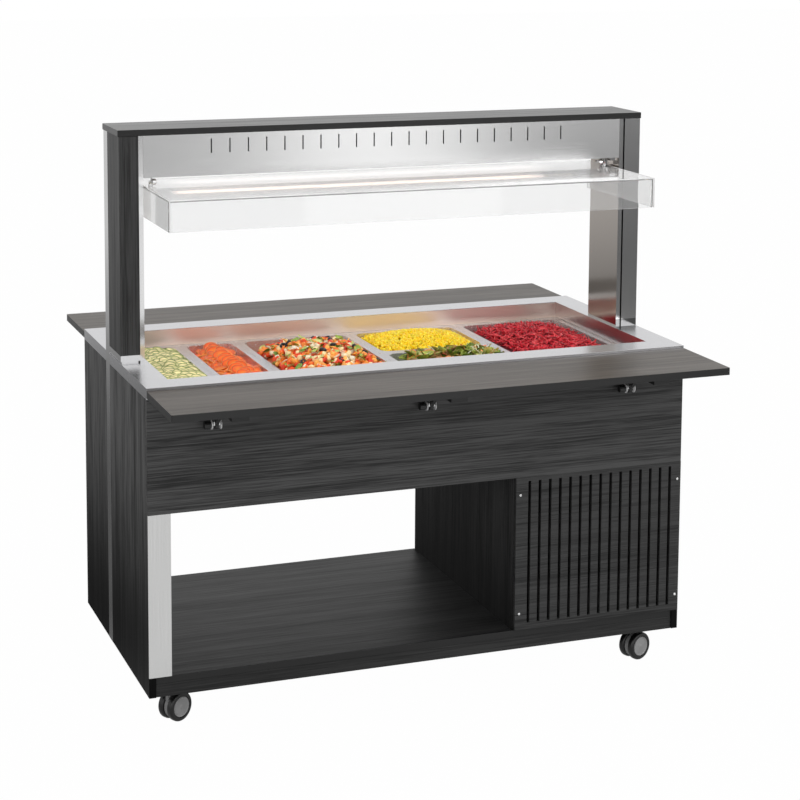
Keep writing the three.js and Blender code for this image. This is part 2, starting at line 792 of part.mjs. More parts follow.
place('shelf_front', shelfBoard(), shelfLaminate);
place('shelf_rear', mirrored(shelfBoard()), shelfLaminate);
place('shelf_rail_front', shelfRailBar(), steel);
place('shelf_rail_rear', mirrored(shelfRailBar()), steel);
for (const [index, x] of armPlaces.entries()) {
  place(`shelf_arm_front_${index + 1}`, shelfArm(x), steel);
  place(`shelf_arm_rear_${index + 1}`, mirrored(shelfArm(x)), steel);
}

// ---- cooling unit, controls and inlet -----------------------------------------------------

function condenser() {
  const ring = fanRadius + fanTipGap;
  const rear = condenserY + shroudDepth;
  const core = block(compartmentX - condenserWidth / 2, compartmentX + condenserWidth / 2,
    condenserY - condenserDepth, condenserY, deckZ, deckZ + condenserHeight);
  const bar = ring + shroudWall / 2;
  const shroud = cut(
    solid(rod(ring + shroudWall, 'y', condenserY - 1, rear, compartmentX, fanZ, 32)),
    rod(ring, 'y', condenserY - 2, rear + 1, compartmentX, fanZ, 32),
  );
  return surface(join(
    core,
    block(compartmentX - bar, compartmentX + bar, rear - strutThickness, rear,
      fanZ - strutHeight / 2, fanZ + strutHeight / 2),
    rod(motorRadius, 'y', rear - strutThickness, rear + motorLength, compartmentX, fanZ, 24),
    rod(shaftRadius, 'y', fanY - fanDepth / 2, rear, compartmentX, fanZ, 12),
  ).add(shroud));
}

function fanRotor() {
  const inner = fanHub - 2;
  const blades = Array.from({ length: fanBlades }, (_, i) => new THREE.BoxGeometry(
    bladeChord, bladeThickness, fanRadius - inner,
  ).translate(0, 0, (fanRadius + inner) / 2).rotateZ(THREE.MathUtils.degToRad(bladeAngle))
    .rotateY(2 * Math.PI * i / fanBlades));
  const rotor = join(rod(fanHub, 'y', -fanDepth / 2, fanDepth / 2, 0, 0, 24), ...blades);
  const length = fanDepth / 2 + 1;
  return surface(cut(rotor, rod(shaftRadius + gap, 'y', -length, length, 0, 0, 12)));
}

function compressorBody() {
  const shoulder = compressorHeight - compressorRadius / 2;
  const profile = [[0, 0], [compressorRadius + compressorFlange, 0],
    [compressorRadius + compressorFlange, compressorBase], [compressorRadius, compressorBase]];
  const dome = Array.from({ length: 6 }, (_, i) => {
    const angle = Math.PI / 2 * i / 5;
    return [compressorRadius * Math.cos(angle), shoulder + compressorRadius / 2 * Math.sin(angle)];
  });
  dome[5][0] = 0;
  const points = [...profile, ...dome].map(([r, z]) => new THREE.Vector2(r, z));
  return new THREE.LatheGeometry(points, 28).rotateX(Math.PI / 2).translate(compartmentX, compressorY, deckZ);
}

function controlBlock(x, halfX, halfZ, y0, y1) {
  const middle = compartmentX + x;
  return block(middle - halfX, middle + halfX, y0, y1, controlZ - halfZ, controlZ + halfZ);
}

function controlPanel() {
  const floor = controlY - recessDepth;
  const past = controlY + 1;
  const rockerX = rockerWidth / 2 + recessGap;
  const rockerZ = Math.hypot(rockerHalf, rockerDepth / 2) + recessGap;
  const key = keySize / 2 + gap;
  const halfX = controlWidth / 2;
  const halfZ = controlHeight / 2;
  const body = join(
    controlBlock(0, halfX, halfZ, faceY, controlY),
    controlBlock(0, halfX - controlLap, halfZ - controlLap, floor - recessFloor, faceY + 1),
  );
  return surface(cut(body,
    ...rockerPlaces.map(x => controlBlock(x, rockerX, rockerZ, floor, past)),
    ...keyPlaces.map(x => controlBlock(x, key, key, floor, past)),
    controlBlock(displayPlace, displayWidth / 2, displayHeight / 2, controlY - displayDepth, past)));
}

// Rocker about its pivot, with a shallow dip across its face.
function rocker() {
  const back = -rockerDepth / 2;
  const face = rockerDepth / 2;
  const outline = polygon([
    [back, -rockerHalf], [face, -rockerHalf], [face - 1, -rockerHalf / 3], [face - 1, rockerHalf / 3],
    [face, rockerHalf], [back, rockerHalf],
  ]);
  return along(outline, -rockerWidth / 2, rockerWidth / 2);
}

function powerInlet() {
  const halfX = inletWidth / 2;
  const halfZ = inletHeight / 2;
  const back = inletY - inletDepth;
  const around = (inset, y0, y1) => block(inletX - halfX + inset, inletX + halfX - inset, y0, y1,
    inletZ - halfZ + inset, inletZ + halfZ - inset);
  const shell = cut(
    join(around(-inletFlange, faceY, inletY), around(0, back, faceY + 1)),
    around(inletWall, back + inletWall, inletY + 1),
  );
  const pinPlaces = [[-inletPinStep, -inletPinRise], [inletPinStep, -inletPinRise], [0, inletPinRise]];
  const half = inletPin / 2;
  const pins = pinPlaces.map(([x, z]) => block(inletX + x - half, inletX + x + half,
    back + 1, inletY - inletPinInset, inletZ + z - inletPin, inletZ + z + inletPin));
  return surface(shell.add(join(...pins)));
}

place('condenser', condenser(), darkSteel);
place('compressor', compressorBody(), blackPlastic);
const fan = new THREE.Group();
fan.position.set(compartmentX, fanY, fanZ);
group.add(fan);
place('fan_rotor', fanRotor(), blackPlastic, fan);

place('control_plate', controlPanel(), blackPlastic);
place('power_inlet', powerInlet(), blackPlastic);
for (const [index, name] of ['power_switch', 'light_switch'].entries()) {
  const tilt = new THREE.Group();
  tilt.position.set(compartmentX + rockerPlaces[index], controlY - rockerInset, controlZ);
  tilt.rotation.x = THREE.MathUtils.degToRad(rockerTilt);
  group.add(tilt);
  place(name, rocker(), blackPlastic, tilt);
}
for (const [index, name] of ['key_up', 'key_down'].entries()) {
  const half = keySize / 2;
  const key = controlBlock(keyPlaces[index], half, half, controlY - keyDepth, controlY + keyProud);
  place(name, key, greyPlastic);
}

// ---- casters ------------------------------------------------------------------------------

// Yoke about the swivel axis, with its web between the two wheels.
function casterYoke(trail) {
  const half = yokeWidth / 2;
  const headTop = baseZ - headClearance;
  const headFoot = headTop - headHeight;
  const axle = trail * casterTrail;
  const yoke = join(
    rod(yokeRadius, 'y', -half, half, axle, wheelRadius, 28),
    block(-yokeNeck, yokeNeck, -half, half, wheelRadius, headFoot + 1),
    rod(headRadius, 'z', headFoot, headTop, 0, 0, 24),
    rod(stemRadius, 'z', headFoot, headTop + stemLength, 0, 0, 12),
  );
  return surface(cut(yoke, rod(axleRadius + gap, 'y', -half - 1, half + 1, axle, wheelRadius, 12)));
}

// Both wheels and their axle, about the axle.
function casterWheels() {
  const inner = yokeWidth / 2 + wheelClearance;
  const outer = inner + wheelWidth;
  const rim = wheelRadius - wheelShoulder;
  const dish = outer - wheelDish;
  const half = [
    [axleRadius, inner],
    [rim, inner],
    [wheelRadius, inner + wheelShoulder],
    [wheelRadius, outer - wheelShoulder],
    [rim, outer], [hubRadius, outer], [hubRadius, dish], [0, dish],
  ];
  const other = half.map(([r, y]) => [r, -y]).reverse();
  const points = [...other, ...half].map(([r, y]) => new THREE.Vector2(r, y));
  return new THREE.LatheGeometry(points, 28);
}

for (const { name, turn, trail, x, y } of casters) {
  const swivel = new THREE.Group();
  const axle = new THREE.Group();
  swivel.position.set(x, y, 0);
  swivel.rotation.z = THREE.MathUtils.degToRad(turn);
  axle.position.set(trail * casterTrail, 0, wheelRadius);
  swivel.add(axle);
  group.add(swivel);
  place(`caster_yoke_${name}`, casterYoke(trail), greyPlastic, swivel);
  place(`caster_wheels_${name}`, casterWheels(), tyreRubber, axle);
}

export default group;
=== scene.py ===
import math
import random
import bmesh
import bpy
from mathutils import Matrix, Vector


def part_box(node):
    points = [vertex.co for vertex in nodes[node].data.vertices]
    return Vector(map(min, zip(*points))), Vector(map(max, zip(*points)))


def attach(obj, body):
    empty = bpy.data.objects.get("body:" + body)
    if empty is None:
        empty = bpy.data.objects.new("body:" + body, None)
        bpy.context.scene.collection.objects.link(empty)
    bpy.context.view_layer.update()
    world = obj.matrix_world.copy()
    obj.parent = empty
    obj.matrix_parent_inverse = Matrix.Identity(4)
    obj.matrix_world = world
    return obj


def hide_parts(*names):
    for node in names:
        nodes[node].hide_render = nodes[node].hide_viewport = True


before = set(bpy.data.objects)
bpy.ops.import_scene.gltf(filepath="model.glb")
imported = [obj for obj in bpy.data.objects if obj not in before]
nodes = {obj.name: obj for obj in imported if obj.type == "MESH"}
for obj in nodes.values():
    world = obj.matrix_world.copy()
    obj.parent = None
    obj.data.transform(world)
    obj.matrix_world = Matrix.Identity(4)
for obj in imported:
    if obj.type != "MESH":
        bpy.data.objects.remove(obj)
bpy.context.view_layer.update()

scene = bpy.context.scene
corners = ("front_left", "front_right", "rear_left", "rear_right")
moved, spun = Matrix.Translation, Matrix.Rotation


# shader building

class Wire:  # a socket's output that can be used in sums
    def __init__(self, graph, socket):
        self.graph, self.socket = graph, socket

    def sum(self, kind, *values):
        return self.graph.add("Math", {"operation": kind}, dict(enumerate(values)))

    __add__ = __radd__ = lambda self, other: self.sum("ADD", self, other)
    __mul__ = __rmul__ = lambda self, other: self.sum("MULTIPLY", self, other)
    __sub__ = lambda self, other: self.sum("SUBTRACT", self, other)
    __rsub__ = lambda self, other: self.sum("SUBTRACT", other, self)
    __gt__ = lambda self, other: self.sum("GREATER_THAN", self, other)
    __lt__ = lambda self, other: self.sum("LESS_THAN", self, other)
    __abs__ = lambda self: self.sum("ABSOLUTE", self)


class Graph:  # a node tree
    def __init__(self, tree):
        self.tree = tree

    def feed(self, socket, value):
        if isinstance(value, Wire):
            self.tree.links.new(value.socket, socket)
        elif socket.type == "RGBA" and len(value) == 3:
            socket.default_value = (*value, 1)
        else:
            socket.default_value = value

    def add(self, kind, settings, inputs, output=0):
        made = self.tree.nodes.new("ShaderNode" + kind)
        for key, value in settings.items():
            if key == "stops":
                ramp = made.color_ramp.elements
                while len(ramp) < len(value):
                    ramp.new(0.5)
                for stop, (place, color) in zip(ramp, value):
                    stop.position = place
                    stop.color = (*color, 1)
            else:
                setattr(made, key, value)
        for key, value in inputs.items():
            self.feed(made.inputs[key], value)
        return Wire(self, made.outputs[output])

    def even(self, value):  # a colour with the same value in its three channels
        return self.add("CombineColor", {}, {key: value for key in range(3)})

    def ray(self, *kinds):  # 1 where the ray is one of these
        first, *rest = (self.add("LightPath", {}, {}, f"Is {kind} Ray") for kind in kinds)
        return sum(rest, first)


class Finish(Graph):  # a material round one Principled shader
    def __init__(self, name, plain):
        self.material = bpy.data.materials.new(name)
        self.material.use_nodes = True
        super().__init__(self.material.node_tree)
        self.shader = self.tree.nodes["Principled BSDF"]
        self.set(plain)

    def set(self, values):
        for socket, value in values.items():
            self.feed(self.shader.inputs[socket], value)

    def spot(self, scale):  # three scales, or one for all axes
        place = self.add("TexCoord", {}, {}, "Object")
        scales = scale if isinstance(scale, tuple) else (scale, scale, scale)
        return self.add("VectorMath", {"operation": "MULTIPLY"}, {0: place, 1: scales})

    def part(self, axis, source="Object"):  # one coordinate of the rest pose, in metres
        return self.add("SeparateXYZ", {}, {0: self.add("TexCoord", {}, {}, source)}, axis)

    def noise(self, scale, detail=2.0, roughness=0.5, warp=0.0):
        return self.add("TexNoise", {}, {"Vector": self.spot(scale), "Scale": 1.0, "Detail": detail,
                                         "Roughness": roughness, "Distortion": warp}, "Fac")

    def ramp(self, factor, *stops):
        return self.add("ValToRGB", {"stops": stops}, {0: factor})

    def mixed(self, factor, first, second, kind="MIX"):
        return self.add("Mix", {"data_type": "RGBA", "blend_type": kind},
                        {0: factor, 6: first, 7: second}, 2)

    def bump(self, height, strength, depth):
        raised = self.add("Bump", {}, {"Strength": strength, "Distance": depth, "Height": height})
        self.set({"Normal": raised})


def grey(level):
    return (level, level, level)


def take(settings, *keys):
    return [settings[key] for key in keys]


def dress(piece, material):
    piece.data.materials.clear()
    piece.data.materials.append(material)


def stretched(along, run, across):  # one scale along the grain, one across
    return tuple(run if axis == along else across for axis in "xyz")


def around(color, low, high):  # a darker and a lighter tone of a colour
    return [part * low for part in color], [min(part * high, 1) for part in color]


def slope(made, axis, start, end, low, high):  # runs from low to high along an axis
    return made.add("MapRange", {"interpolation_type": "SMOOTHSTEP"},
                    {0: made.part(axis), 1: start, 2: end, 3: low, 4: high})


# laminate boards, with a straight open grain

laminate = {
    "dark": 0.007, "light": 0.064, "rough": 0.5, "shine": 0.35, "streaks": 270, "run": 4.2,
    "pores": 640, "poreRun": 2.4, "bands": 30, "bandRun": 0.7, "cloud": 2.5, "cloudRun": 0.8,
    "shares": (0.46, 0.3, 0.24), "cloudy": (0.85, 1.1), "middle": 0.49, "spread": 0.074,
    "depth": 0.0003, "relief": 0.6, "edge": 0.3,
}


def makeLaminate(name, along, lift, tone=(1.0, 1.0, 1.0), rough=laminate["rough"], edge=1.0, calm=1.0,
                 foot=None, shine=laminate["shine"]):
    board = Finish(name, {"Specular IOR Level": shine})
    run = laminate["run"]
    streaks = board.noise(stretched(along, run, laminate["streaks"]), 3, 0.6, 0.3)
    pores = board.noise(stretched(along, run * laminate["poreRun"], laminate["pores"]), 2, 0.6)
    bands = board.noise(stretched(along, laminate["bandRun"], laminate["bands"]), 2, 0.5, 0.2)
    cloud = board.noise(stretched(along, laminate["cloudRun"], laminate["cloud"]), 2, 0.5)
    streakShare, poreShare, bandShare = laminate["shares"]
    grain = streaks * streakShare + pores * poreShare + bands * bandShare
    low, high = ([laminate[key] * lift * part for part in tone] for key in ("dark", "light"))
    middle, spread = laminate["middle"], laminate["spread"] * calm
    color = board.ramp(grain, (middle - spread, low), (middle + spread, high))
    thin, full = (grey(level) for level in laminate["cloudy"])
    color = board.mixed(1.0, color, board.ramp(cloud, (0.3, thin), (0.7, full)), "MULTIPLY")
    if foot:  # painted shade, darker towards the floor
        start, end, floorShade = foot
        color = board.mixed(1.0, color, board.even(slope(board, "Z", start, end, floorShade, 1.0)), "MULTIPLY")
    if edge != 1.0:  # edge bands are plainer and darker than the face
        face = abs(board.part("Z", "Normal")) > 0.5
        color = board.mixed(face, grey(laminate["light"] * edge), color)
    board.set({"Base Color": color, "Roughness": rough + (0.5 - grain) * 0.5})
    board.bump(grain, laminate["relief"] / calm, laminate["depth"])
    return board.material


# metals

steel = {"color": (0.58, 0.58, 0.58), "rough": 0.24, "lines": 1500, "run": 5, "depth": 0.00001}


def makeSteel(name, along, rough=steel["rough"], color=steel["color"], lines=steel["lines"], spread=0.07,
              touch=None):
    brushed = Finish(name, {"Metallic": 1.0})
    strokes = brushed.noise(stretched(along, steel["run"], lines), 3, 0.6)
    soft = brushed.noise(3, 2, 0.5)
    low, high = around(color, 0.93, 1.06)
    shade = brushed.ramp(strokes, (0.3, low), (0.7, high))
    dull = 0
    if touch:  # faces with painted light and shade, and another roughness
        shade, dull = touch(brushed, shade)
    brushed.set({"Base Color": shade, "Roughness": rough + (strokes - 0.5) * spread
                 + (soft - 0.5) * 0.04 + dull})
    brushed.bump(strokes, 0.12, steel["depth"])
    return brushed.material


def makePlain(name, color, rough, metal=0.0, grain=500.0, depth=0.00006, spread=0.12):
    made = Finish(name, {"Metallic": metal})
    speck = made.noise(grain, 2, 0.6)
    cloud = made.noise(14, 2, 0.5)
    low, high = around(color, 0.88, 1.1)
    made.set({"Base Color": made.ramp(cloud, (0.35, low), (0.65, high)),
              "Roughness": rough + (speck - 0.5) * spread})
    made.bump(speck, 0.4, depth)
    return made.material


hinge = {
    "pitch": 0.56, "bushPlace": -0.022, "bushHalf": 0.0085, "railFace": 0.3625, "dark": 0.012,
    "bright": 0.72,
}


def makeRail():  # black rail, bright ears and pins, black bushes
    made = Finish("hingeSteel", {})
    strokes = made.noise((300.0, 40.0, 300.0), 2, 0.6)
    away = abs(made.part("Y")) > hinge["railFace"]
    half = hinge["pitch"] / 2
    past = made.part("X") - hinge["bushPlace"]
    near = made.add("Math", {"operation": "WRAP"}, {0: past, 1: half, 2: -half})
    bright = away * (abs(near) > hinge["bushHalf"])
    made.set({"Base Color": made.mixed(bright, grey(hinge["dark"]), grey(hinge["bright"])),
              "Metallic": bright, "Roughness": 0.45 - bright * 0.25 + (strokes - 0.5) * 0.12})
    made.bump(strokes, 0.3, 0.00003)
    return made.material


panSteel = {"rim": (0.46, 0.455, 0.475), "inside": (0.92, 0.9, 0.87), "rough": 0.26, "paintedSheen": 0.22}


def makePan():  # one steel: satin rim kept darker, the inside painted paler and partly non-metallic as a painted sheen
    made = Finish("steelPan", {"Metallic": 1.0})
    strokes = made.noise((200.0, 6.0, 200.0), 3, 0.6)
    soft = made.noise(9, 2, 0.5)
    rim = made.part("Z", "Normal") > 0.98
    made.set({"Base Color": made.mixed(rim, panSteel["inside"], panSteel["rim"]),
              # painted sheen: the inside is partly non-metallic so its pale colour shows
              "Metallic": 1.0 - (1.0 - rim) * panSteel["paintedSheen"],
              "Roughness": panSteel["rough"] + (strokes - 0.5) * 0.08 + (soft - 0.5) * 0.06})
    made.bump(soft, 0.2, 0.0004)
    return made.material


# painted shade inside the channel: its extent, dark colour and added roughness
channelInsideShade = {"half": 0.0857, "lowest": 1.3464, "dark": 0.015, "dull": 0.3}


def channelShadeTouch(made, shade):  # painted shade darkens the inside of the folded channel, which is also rougher
    inside = (abs(made.part("Y")) < channelInsideShade["half"]) * (made.part("Z") > channelInsideShade["lowest"])
    # painted shade colour on the inside
    return made.mixed(inside, shade, grey(channelInsideShade["dark"])), inside * channelInsideShade["dull"]


# painted light on the posts: highlight colour, shade slope, shaded liner colour, foot shade and the darker
# share seen in reflections
postPaintedLight = {
    "flange": 0.6775, "foot": 0.8945, "edge": 0.95, "low": (0.92, 0.72), "high": (1.24, 1.0),
    "liner": (0.4, 0.365, 0.335), "paintedFootShade": 0.6, "mirrored": 0.3,
}


def postLightTouch(made, shade):  # painted light: a painted highlight on the flange and foot at the left, painted shade towards the counter, on the foot and on the inner liner faces, and a darker post in reflections
    front = abs(made.part("Y", "Normal")) > 0.5
    inner = abs(made.part("X")) < postPaintedLight["flange"]
    foot = made.part("Z") < postPaintedLight["foot"]
    # painted highlight on the front of the flange and foot, at the left only
    flange = front * (made.part("X") < 0) * ((inner + foot) > 0.5)
    (start, low), (end, high) = postPaintedLight["low"], postPaintedLight["high"]
    # painted shade, darker towards the counter and on the foot
    paintedFall = slope(made, "Z", start, end, low, high) * (1.0 - foot * postPaintedLight["paintedFootShade"])
    # painted reflection: the post is darker where glossy rays see it
    paintedFall = paintedFall * (1.0 - made.ray("Glossy") * (1.0 - postPaintedLight["mirrored"]))
    # painted shade on the inner liner faces
    liner = inner * (abs(made.part("X", "Normal")) > 0.5)
    shade = made.mixed(front, made.mixed(liner, shade, postPaintedLight["liner"]), made.even(paintedFall))
    return made.mixed(flange, shade, grey(postPaintedLight["edge"])), 0


# painted light on the well's walls: extent, warm side-wall colour, darker end-wall colour and added roughness
wellPaintedLight = {
    "half": (0.6595, 0.2845), "top": 0.8725, "color": (0.86, 0.74, 0.66), "end": (0.62, 0.58, 0.57),
    "dull": 0.14,
}


def wellLightTouch(made, shade):  # satin walls of the well under the counter's edge, with painted light: side walls painted brighter and warmer, end walls darker
    inside = (abs(made.part("Z", "Normal")) < 0.5) * (made.part("Z") < wellPaintedLight["top"])
    for axis, half in zip("XY", wellPaintedLight["half"]):
        inside = inside * (abs(made.part(axis)) < half)
    end = abs(made.part("X", "Normal")) > 0.5
    # painted light: bright warm side walls, darker end walls
    paintedWalls = made.mixed(end, wellPaintedLight["color"], wellPaintedLight["end"])
    return made.mixed(inside, shade, paintedWalls), inside * (1.0 - end) * wellPaintedLight["dull"]


cooler = {"fins": 90.0, "dark": 0.006, "light": 0.05, "rough": 0.5}


def makeCondenser():  # dark block with upright fins drawn as bands; the darker bands are painted shade between the fins
    made = Finish("condenserFins", {"Metallic": 0.6})
    fins = made.add("TexWave", {"wave_type": "BANDS", "bands_direction": "X"},
                    {"Vector": made.spot(1), "Scale": cooler["fins"]}, "Fac")
    # painted shade in the darker bands between the fins
    made.set({"Base Color": made.ramp(fins, (0.2, grey(cooler["dark"])), (0.8, grey(cooler["light"]))),
              "Roughness": cooler["rough"] - fins * 0.15})
    made.bump(fins, 0.8, 0.001)
    return made.material


# lift lightens or darkens the same laminate board by board: painted light and shade for how light falls on
# each board
boards = {
    "long": makeLaminate("laminateLong", "x", 1.3),
    "base": makeLaminate("laminateBase", "x", 0.42),
    "grille": makeLaminate("laminateGrille", "x", 0.78),
    # the side and divider boards also get painted shade towards the floor
    "side": makeLaminate("laminateSide", "z", 2.3, foot=(0.15, 0.75, 0.02), shine=0.09),
    "divider": makeLaminate("laminateDivider", "z", 0.75, foot=(0.13, 0.5, 0.2), shine=0.2),
    "cover": makeLaminate("laminateCover", "z", 0.6),
    "low": makeLaminate("laminateFloor", "x", 0.42, edge=laminate["edge"], shine=0.28),
    "shelf": makeLaminate("laminateShelf", "x", 0.88, tone=(1.0, 0.72, 0.45), rough=0.38,
                          edge=laminate["edge"] * 1.1, calm=2.2),
    "canopy": makeLaminate("laminateCanopy", "x", 1.2, rough=0.34, edge=laminate["edge"] * 0.6, calm=1.8),
}
metals = {
    "long": makeSteel("steelLong", "x"),
    "tall": makeSteel("steelTall", "z", rough=0.22, color=(0.74, 0.74, 0.735)),
    "counter": makeSteel("steelCounter", "x", rough=0.26, color=(0.56, 0.56, 0.575), spread=0.04,
                         touch=wellLightTouch),
    "tank": makeSteel("steelTank", "x", rough=0.42, color=(0.7, 0.66, 0.64)),
    "pan": makePan(),
    "post": makeSteel("steelPost", "z", rough=0.13, color=(0.56, 0.56, 0.56), lines=900, spread=0.05,
                      touch=postLightTouch),
    "channel": makeSteel("steelChannel", "x", rough=0.25, spread=0.06, touch=channelShadeTouch),
    "bar": makeSteel("steelBar", "y", rough=0.2),
    "screw": makePlain("screwSteel", grey(0.75), 0.18, metal=1.0, grain=800, depth=0.00002, spread=0.08),
}
plastics = {
    "black": makePlain("blackPlastic", grey(0.012), 0.4),
    "grey": makePlain("casterGrey", grey(0.33), 0.4),
    "hub": makePlain("hubGrey", grey(0.42), 0.34, grain=900, depth=0.00004),
    "key": makePlain("keyPlastic", grey(0.25), 0.45),
    "enamel": makePlain("blackEnamel", grey(0.01), 0.22, grain=60, depth=0.0001, spread=0.08),
    "coat": makePlain("powderCoat", grey(0.02), 0.5, grain=1400, depth=0.0001),
    "foam": makePlain("insulationFoam", (0.42, 0.4, 0.3), 0.9, grain=300, depth=0.0008),
    "tyre": makePlain("tyreRubber", grey(0.004), 0.32, grain=900, depth=0.00008),
}

dressing = [  # material and the starts of its nodes' names
    (boards["side"], "side_panel"), (boards["divider"], "divider_panel"), (boards["low"], "floor_board"),
    (boards["long"], "under_panel", "apron"), (boards["grille"], "grille"), (boards["base"], "base_frame"),
    (boards["cover"], "post_cover"), (boards["shelf"], "shelf_front", "shelf_rear"),
    (boards["canopy"], "canopy_board"), (metals["tall"], "corner_post"), (metals["counter"], "counter_top"),
    (metals["tank"], "well_tank"), (metals["long"], "drain"), (metals["channel"], "canopy_channel"),
    (metals["post"], "post_frame"), (metals["pan"], "pan"), (metals["bar"], "pan_bar"),
    (makeRail(), "shelf_rail"), (makeCondenser(), "condenser"), (plastics["coat"], "shelf_arm"),
    (plastics["foam"], "insulation"), (plastics["enamel"], "compressor"), (plastics["key"], "key"),
    (plastics["black"], "fan_rotor", "control_plate", "power_inlet", "power_switch", "light_switch"),
    (plastics["grey"], "caster_yoke"), (plastics["tyre"], "caster_wheels"),
]
for material, *starts in dressing:
    for name, piece in nodes.items():
        if name.startswith(tuple(starts)):
            dress(piece, material)

# eased edges on boards and the bent sheet

eased = {
    "canopy_board": 0.0012, "shelf_front": 0.0012, "shelf_rear": 0.0012, "side_panel": 0.001,
    "apron": 0.001, "floor_board": 0.001, "post_cover": 0.001, "sneeze_hood": 0.0022,
    "corner_post": 0.0006, "counter_top": 0.0008,
}
easing = {"joined": 0.00002, "segments": 2, "angle": 50}
for name, piece in nodes.items():
    for start, width in eased.items():
        if name.startswith(start):
            weld = piece.modifiers.new("joinedCorners", "WELD")
            weld.merge_threshold = easing["joined"]
            ease = piece.modifiers.new("easedEdges", "BEVEL")
            ease.width = width
            ease.segments = easing["segments"]
            ease.angle_limit = math.radians(easing["angle"])
            ease.harden_normals = True
print("finishes set")

# lamp and hood

lampGlow = {
    "cover": (0.9, 0.86, 0.82), "light": (1.0, 0.66, 0.5), "power": 1.2, "underside": 1.3466,
    "start": (-0.575, -0.53), "end": (0.5, 0.41),
}
acrylic = {
    "plain": {"IOR": 1.25, "Transmission Weight": 0.88, "Coat Weight": 0.5, "Coat Roughness": 0.26},
    "color": (0.9, 0.905, 0.905), "rough": 0.02, "shadow": 0.92, "rim": 0.003,
    "box": (0.656, -0.3105, 0.08, 1.2405, 1.3185),
}


def makeLampGlow():
    made = Finish("lampGlow", {"Emission Strength": lampGlow["power"]})
    under = made.part("Z") < lampGlow["underside"]
    for near, far in (lampGlow["start"], lampGlow["end"]):
        under = under * slope(made, "X", near, far, 0.0, 1.0)
    ripple = made.noise(60, 2, 0.5)
    made.set({"Base Color": made.mixed(ripple, lampGlow["cover"], grey(0.8)), "Roughness": 0.4 + ripple * 0.1,
              "Emission Color": made.mixed(under, grey(0.0), lampGlow["light"])})
    return made.material


def makeAcrylic():
    made = Finish("clearAcrylic", acrylic["plain"])
    haze = made.noise(5, 2, 0.5)
    made.set({"Base Color": made.mixed(haze, acrylic["color"], grey(0.9)),
              "Roughness": acrylic["rough"] + haze * 0.03})
    clear = made.add("BsdfTransparent", {}, {"Color": grey(acrylic["shadow"])})
    solid = Wire(made, made.shader.outputs[0])
    sheet = made.add("MixShader", {}, {0: made.ray("Shadow"), 1: solid, 2: clear})
    made.feed(made.tree.nodes["Material Output"].inputs[0], sheet)
    return made.material


dress(nodes["lamp"], makeLampGlow())
dress(nodes["sneeze_hood"], makeAcrylic())
print("hood and lamp done")

# shapes of points, faces and tones, gathered into pieces

crease = math.radians(40)  # edges bent by more than this stay sharp, but not on food


class Shapes:
    def __init__(self):
        self.points, self.faces, self.tints = [], [], []

    def put(self, shape, matrix, tint=(1, 1, 1)):
        start = len(self.points)
        points, faces, tones = shape
        self.points += [matrix @ point for point in points]
        self.faces += [[start + corner for corner in face] for face in faces]
        self.tints += [[a * b for a, b in zip(tone, tint)] for tone in tones]

    def finish(self, name, body, material, slot=None):
        mesh = bpy.data.meshes.new(name)
        mesh.from_pydata(self.points, [], self.faces)
        tint = mesh.color_attributes.new("tint", "FLOAT_COLOR", "POINT")
        tint.data.foreach_set("color", [part for tone in self.tints for part in (*tone, 1)])
        mesh.shade_smooth()
        if slot:
            mesh.set_sharp_from_angle(angle=crease)
        mesh.materials.append(material)
        made = bpy.data.objects.new(name, mesh)
        scene.collection.objects.link(made)
        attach(made, body)
        return made if slot else made


def lathe(profile, sides):  # (radius, height) pairs turned about the upright axis
    points, faces, rows = [], [], []
    for radius, height in profile:
        if radius == 0:
            rows.append([len(points)] * sides)
            points.append(Vector((0, 0, height)))
            continue
        rows.append([len(points) + side for side in range(sides)])
        for side in range(sides):
            turn = 2 * math.pi * side / sides
            points.append(Vector((radius * math.cos(turn), radius * math.sin(turn), height)))
    for low, high in zip(rows, rows[1:]):
        for side in range(sides):
            after = (side + 1) % sides
            ring = [low[side], low[after], high[after], high[side]]
            faces.append([corner for place, corner in enumerate(ring) if corner not in ring[:place]])
    return points, faces, [(1, 1, 1)] * len(points)


def softBlock(width, depth, height, edge, steps=3):  # block about its middle with rounded edges
    shape = bmesh.new()
    bmesh.ops.create_cube(shape, size=1.0, matrix=Matrix.Diagonal((width, depth, height, 1)))
    bmesh.ops.bevel(shape, geom=shape.edges[:], offset=edge, segments=steps, profile=0.5, affect="EDGES")
    points = [point.co.copy() for point in shape.verts]
    faces = [[point.index for point in face.verts] for face in shape.faces]
    shape.free()
    return points, faces, [(1, 1, 1)] * len(points)


def pose(place, turn, tilt=0.0, lean=0.0, size=(1, 1, 1)):
    way = spun(turn, 4, "Z") @ spun(tilt, 4, "Y") @ spun(lean, 4, "X")
    return moved(place) @ way @ Matrix.Diagonal((*size, 1))


# casters: rounded tyres, grey hub discs

caster = {
    "angles": (30, 20, 24, 16), "trails": (1, -1, 1, -1), "trail": 0.018,
    "places": ((-0.656, -0.278), (0.656, -0.278), (-0.656, 0.278), (0.656, 0.278)),
    "radius": 0.0375, "inner": 0.0065, "outer": 0.0245, "round": 0.006, "hub": 0.0262, "groove": 0.0012,
    "sunk": 0.0025, "seat": 0.0023, "axle": 0.005, "sides": 72,
    "disc": ((0, 0.0022), (0.0048, 0.0021), (0.006, 0.0012), (0.0085, 0.0009), (0.0195, 0.0003),
             (0.0225, 0.0006), (0.0236, 0.0018), (0.025, 0.002), (0.0257, 0.0012), (0.0258, -0.0002)),
}


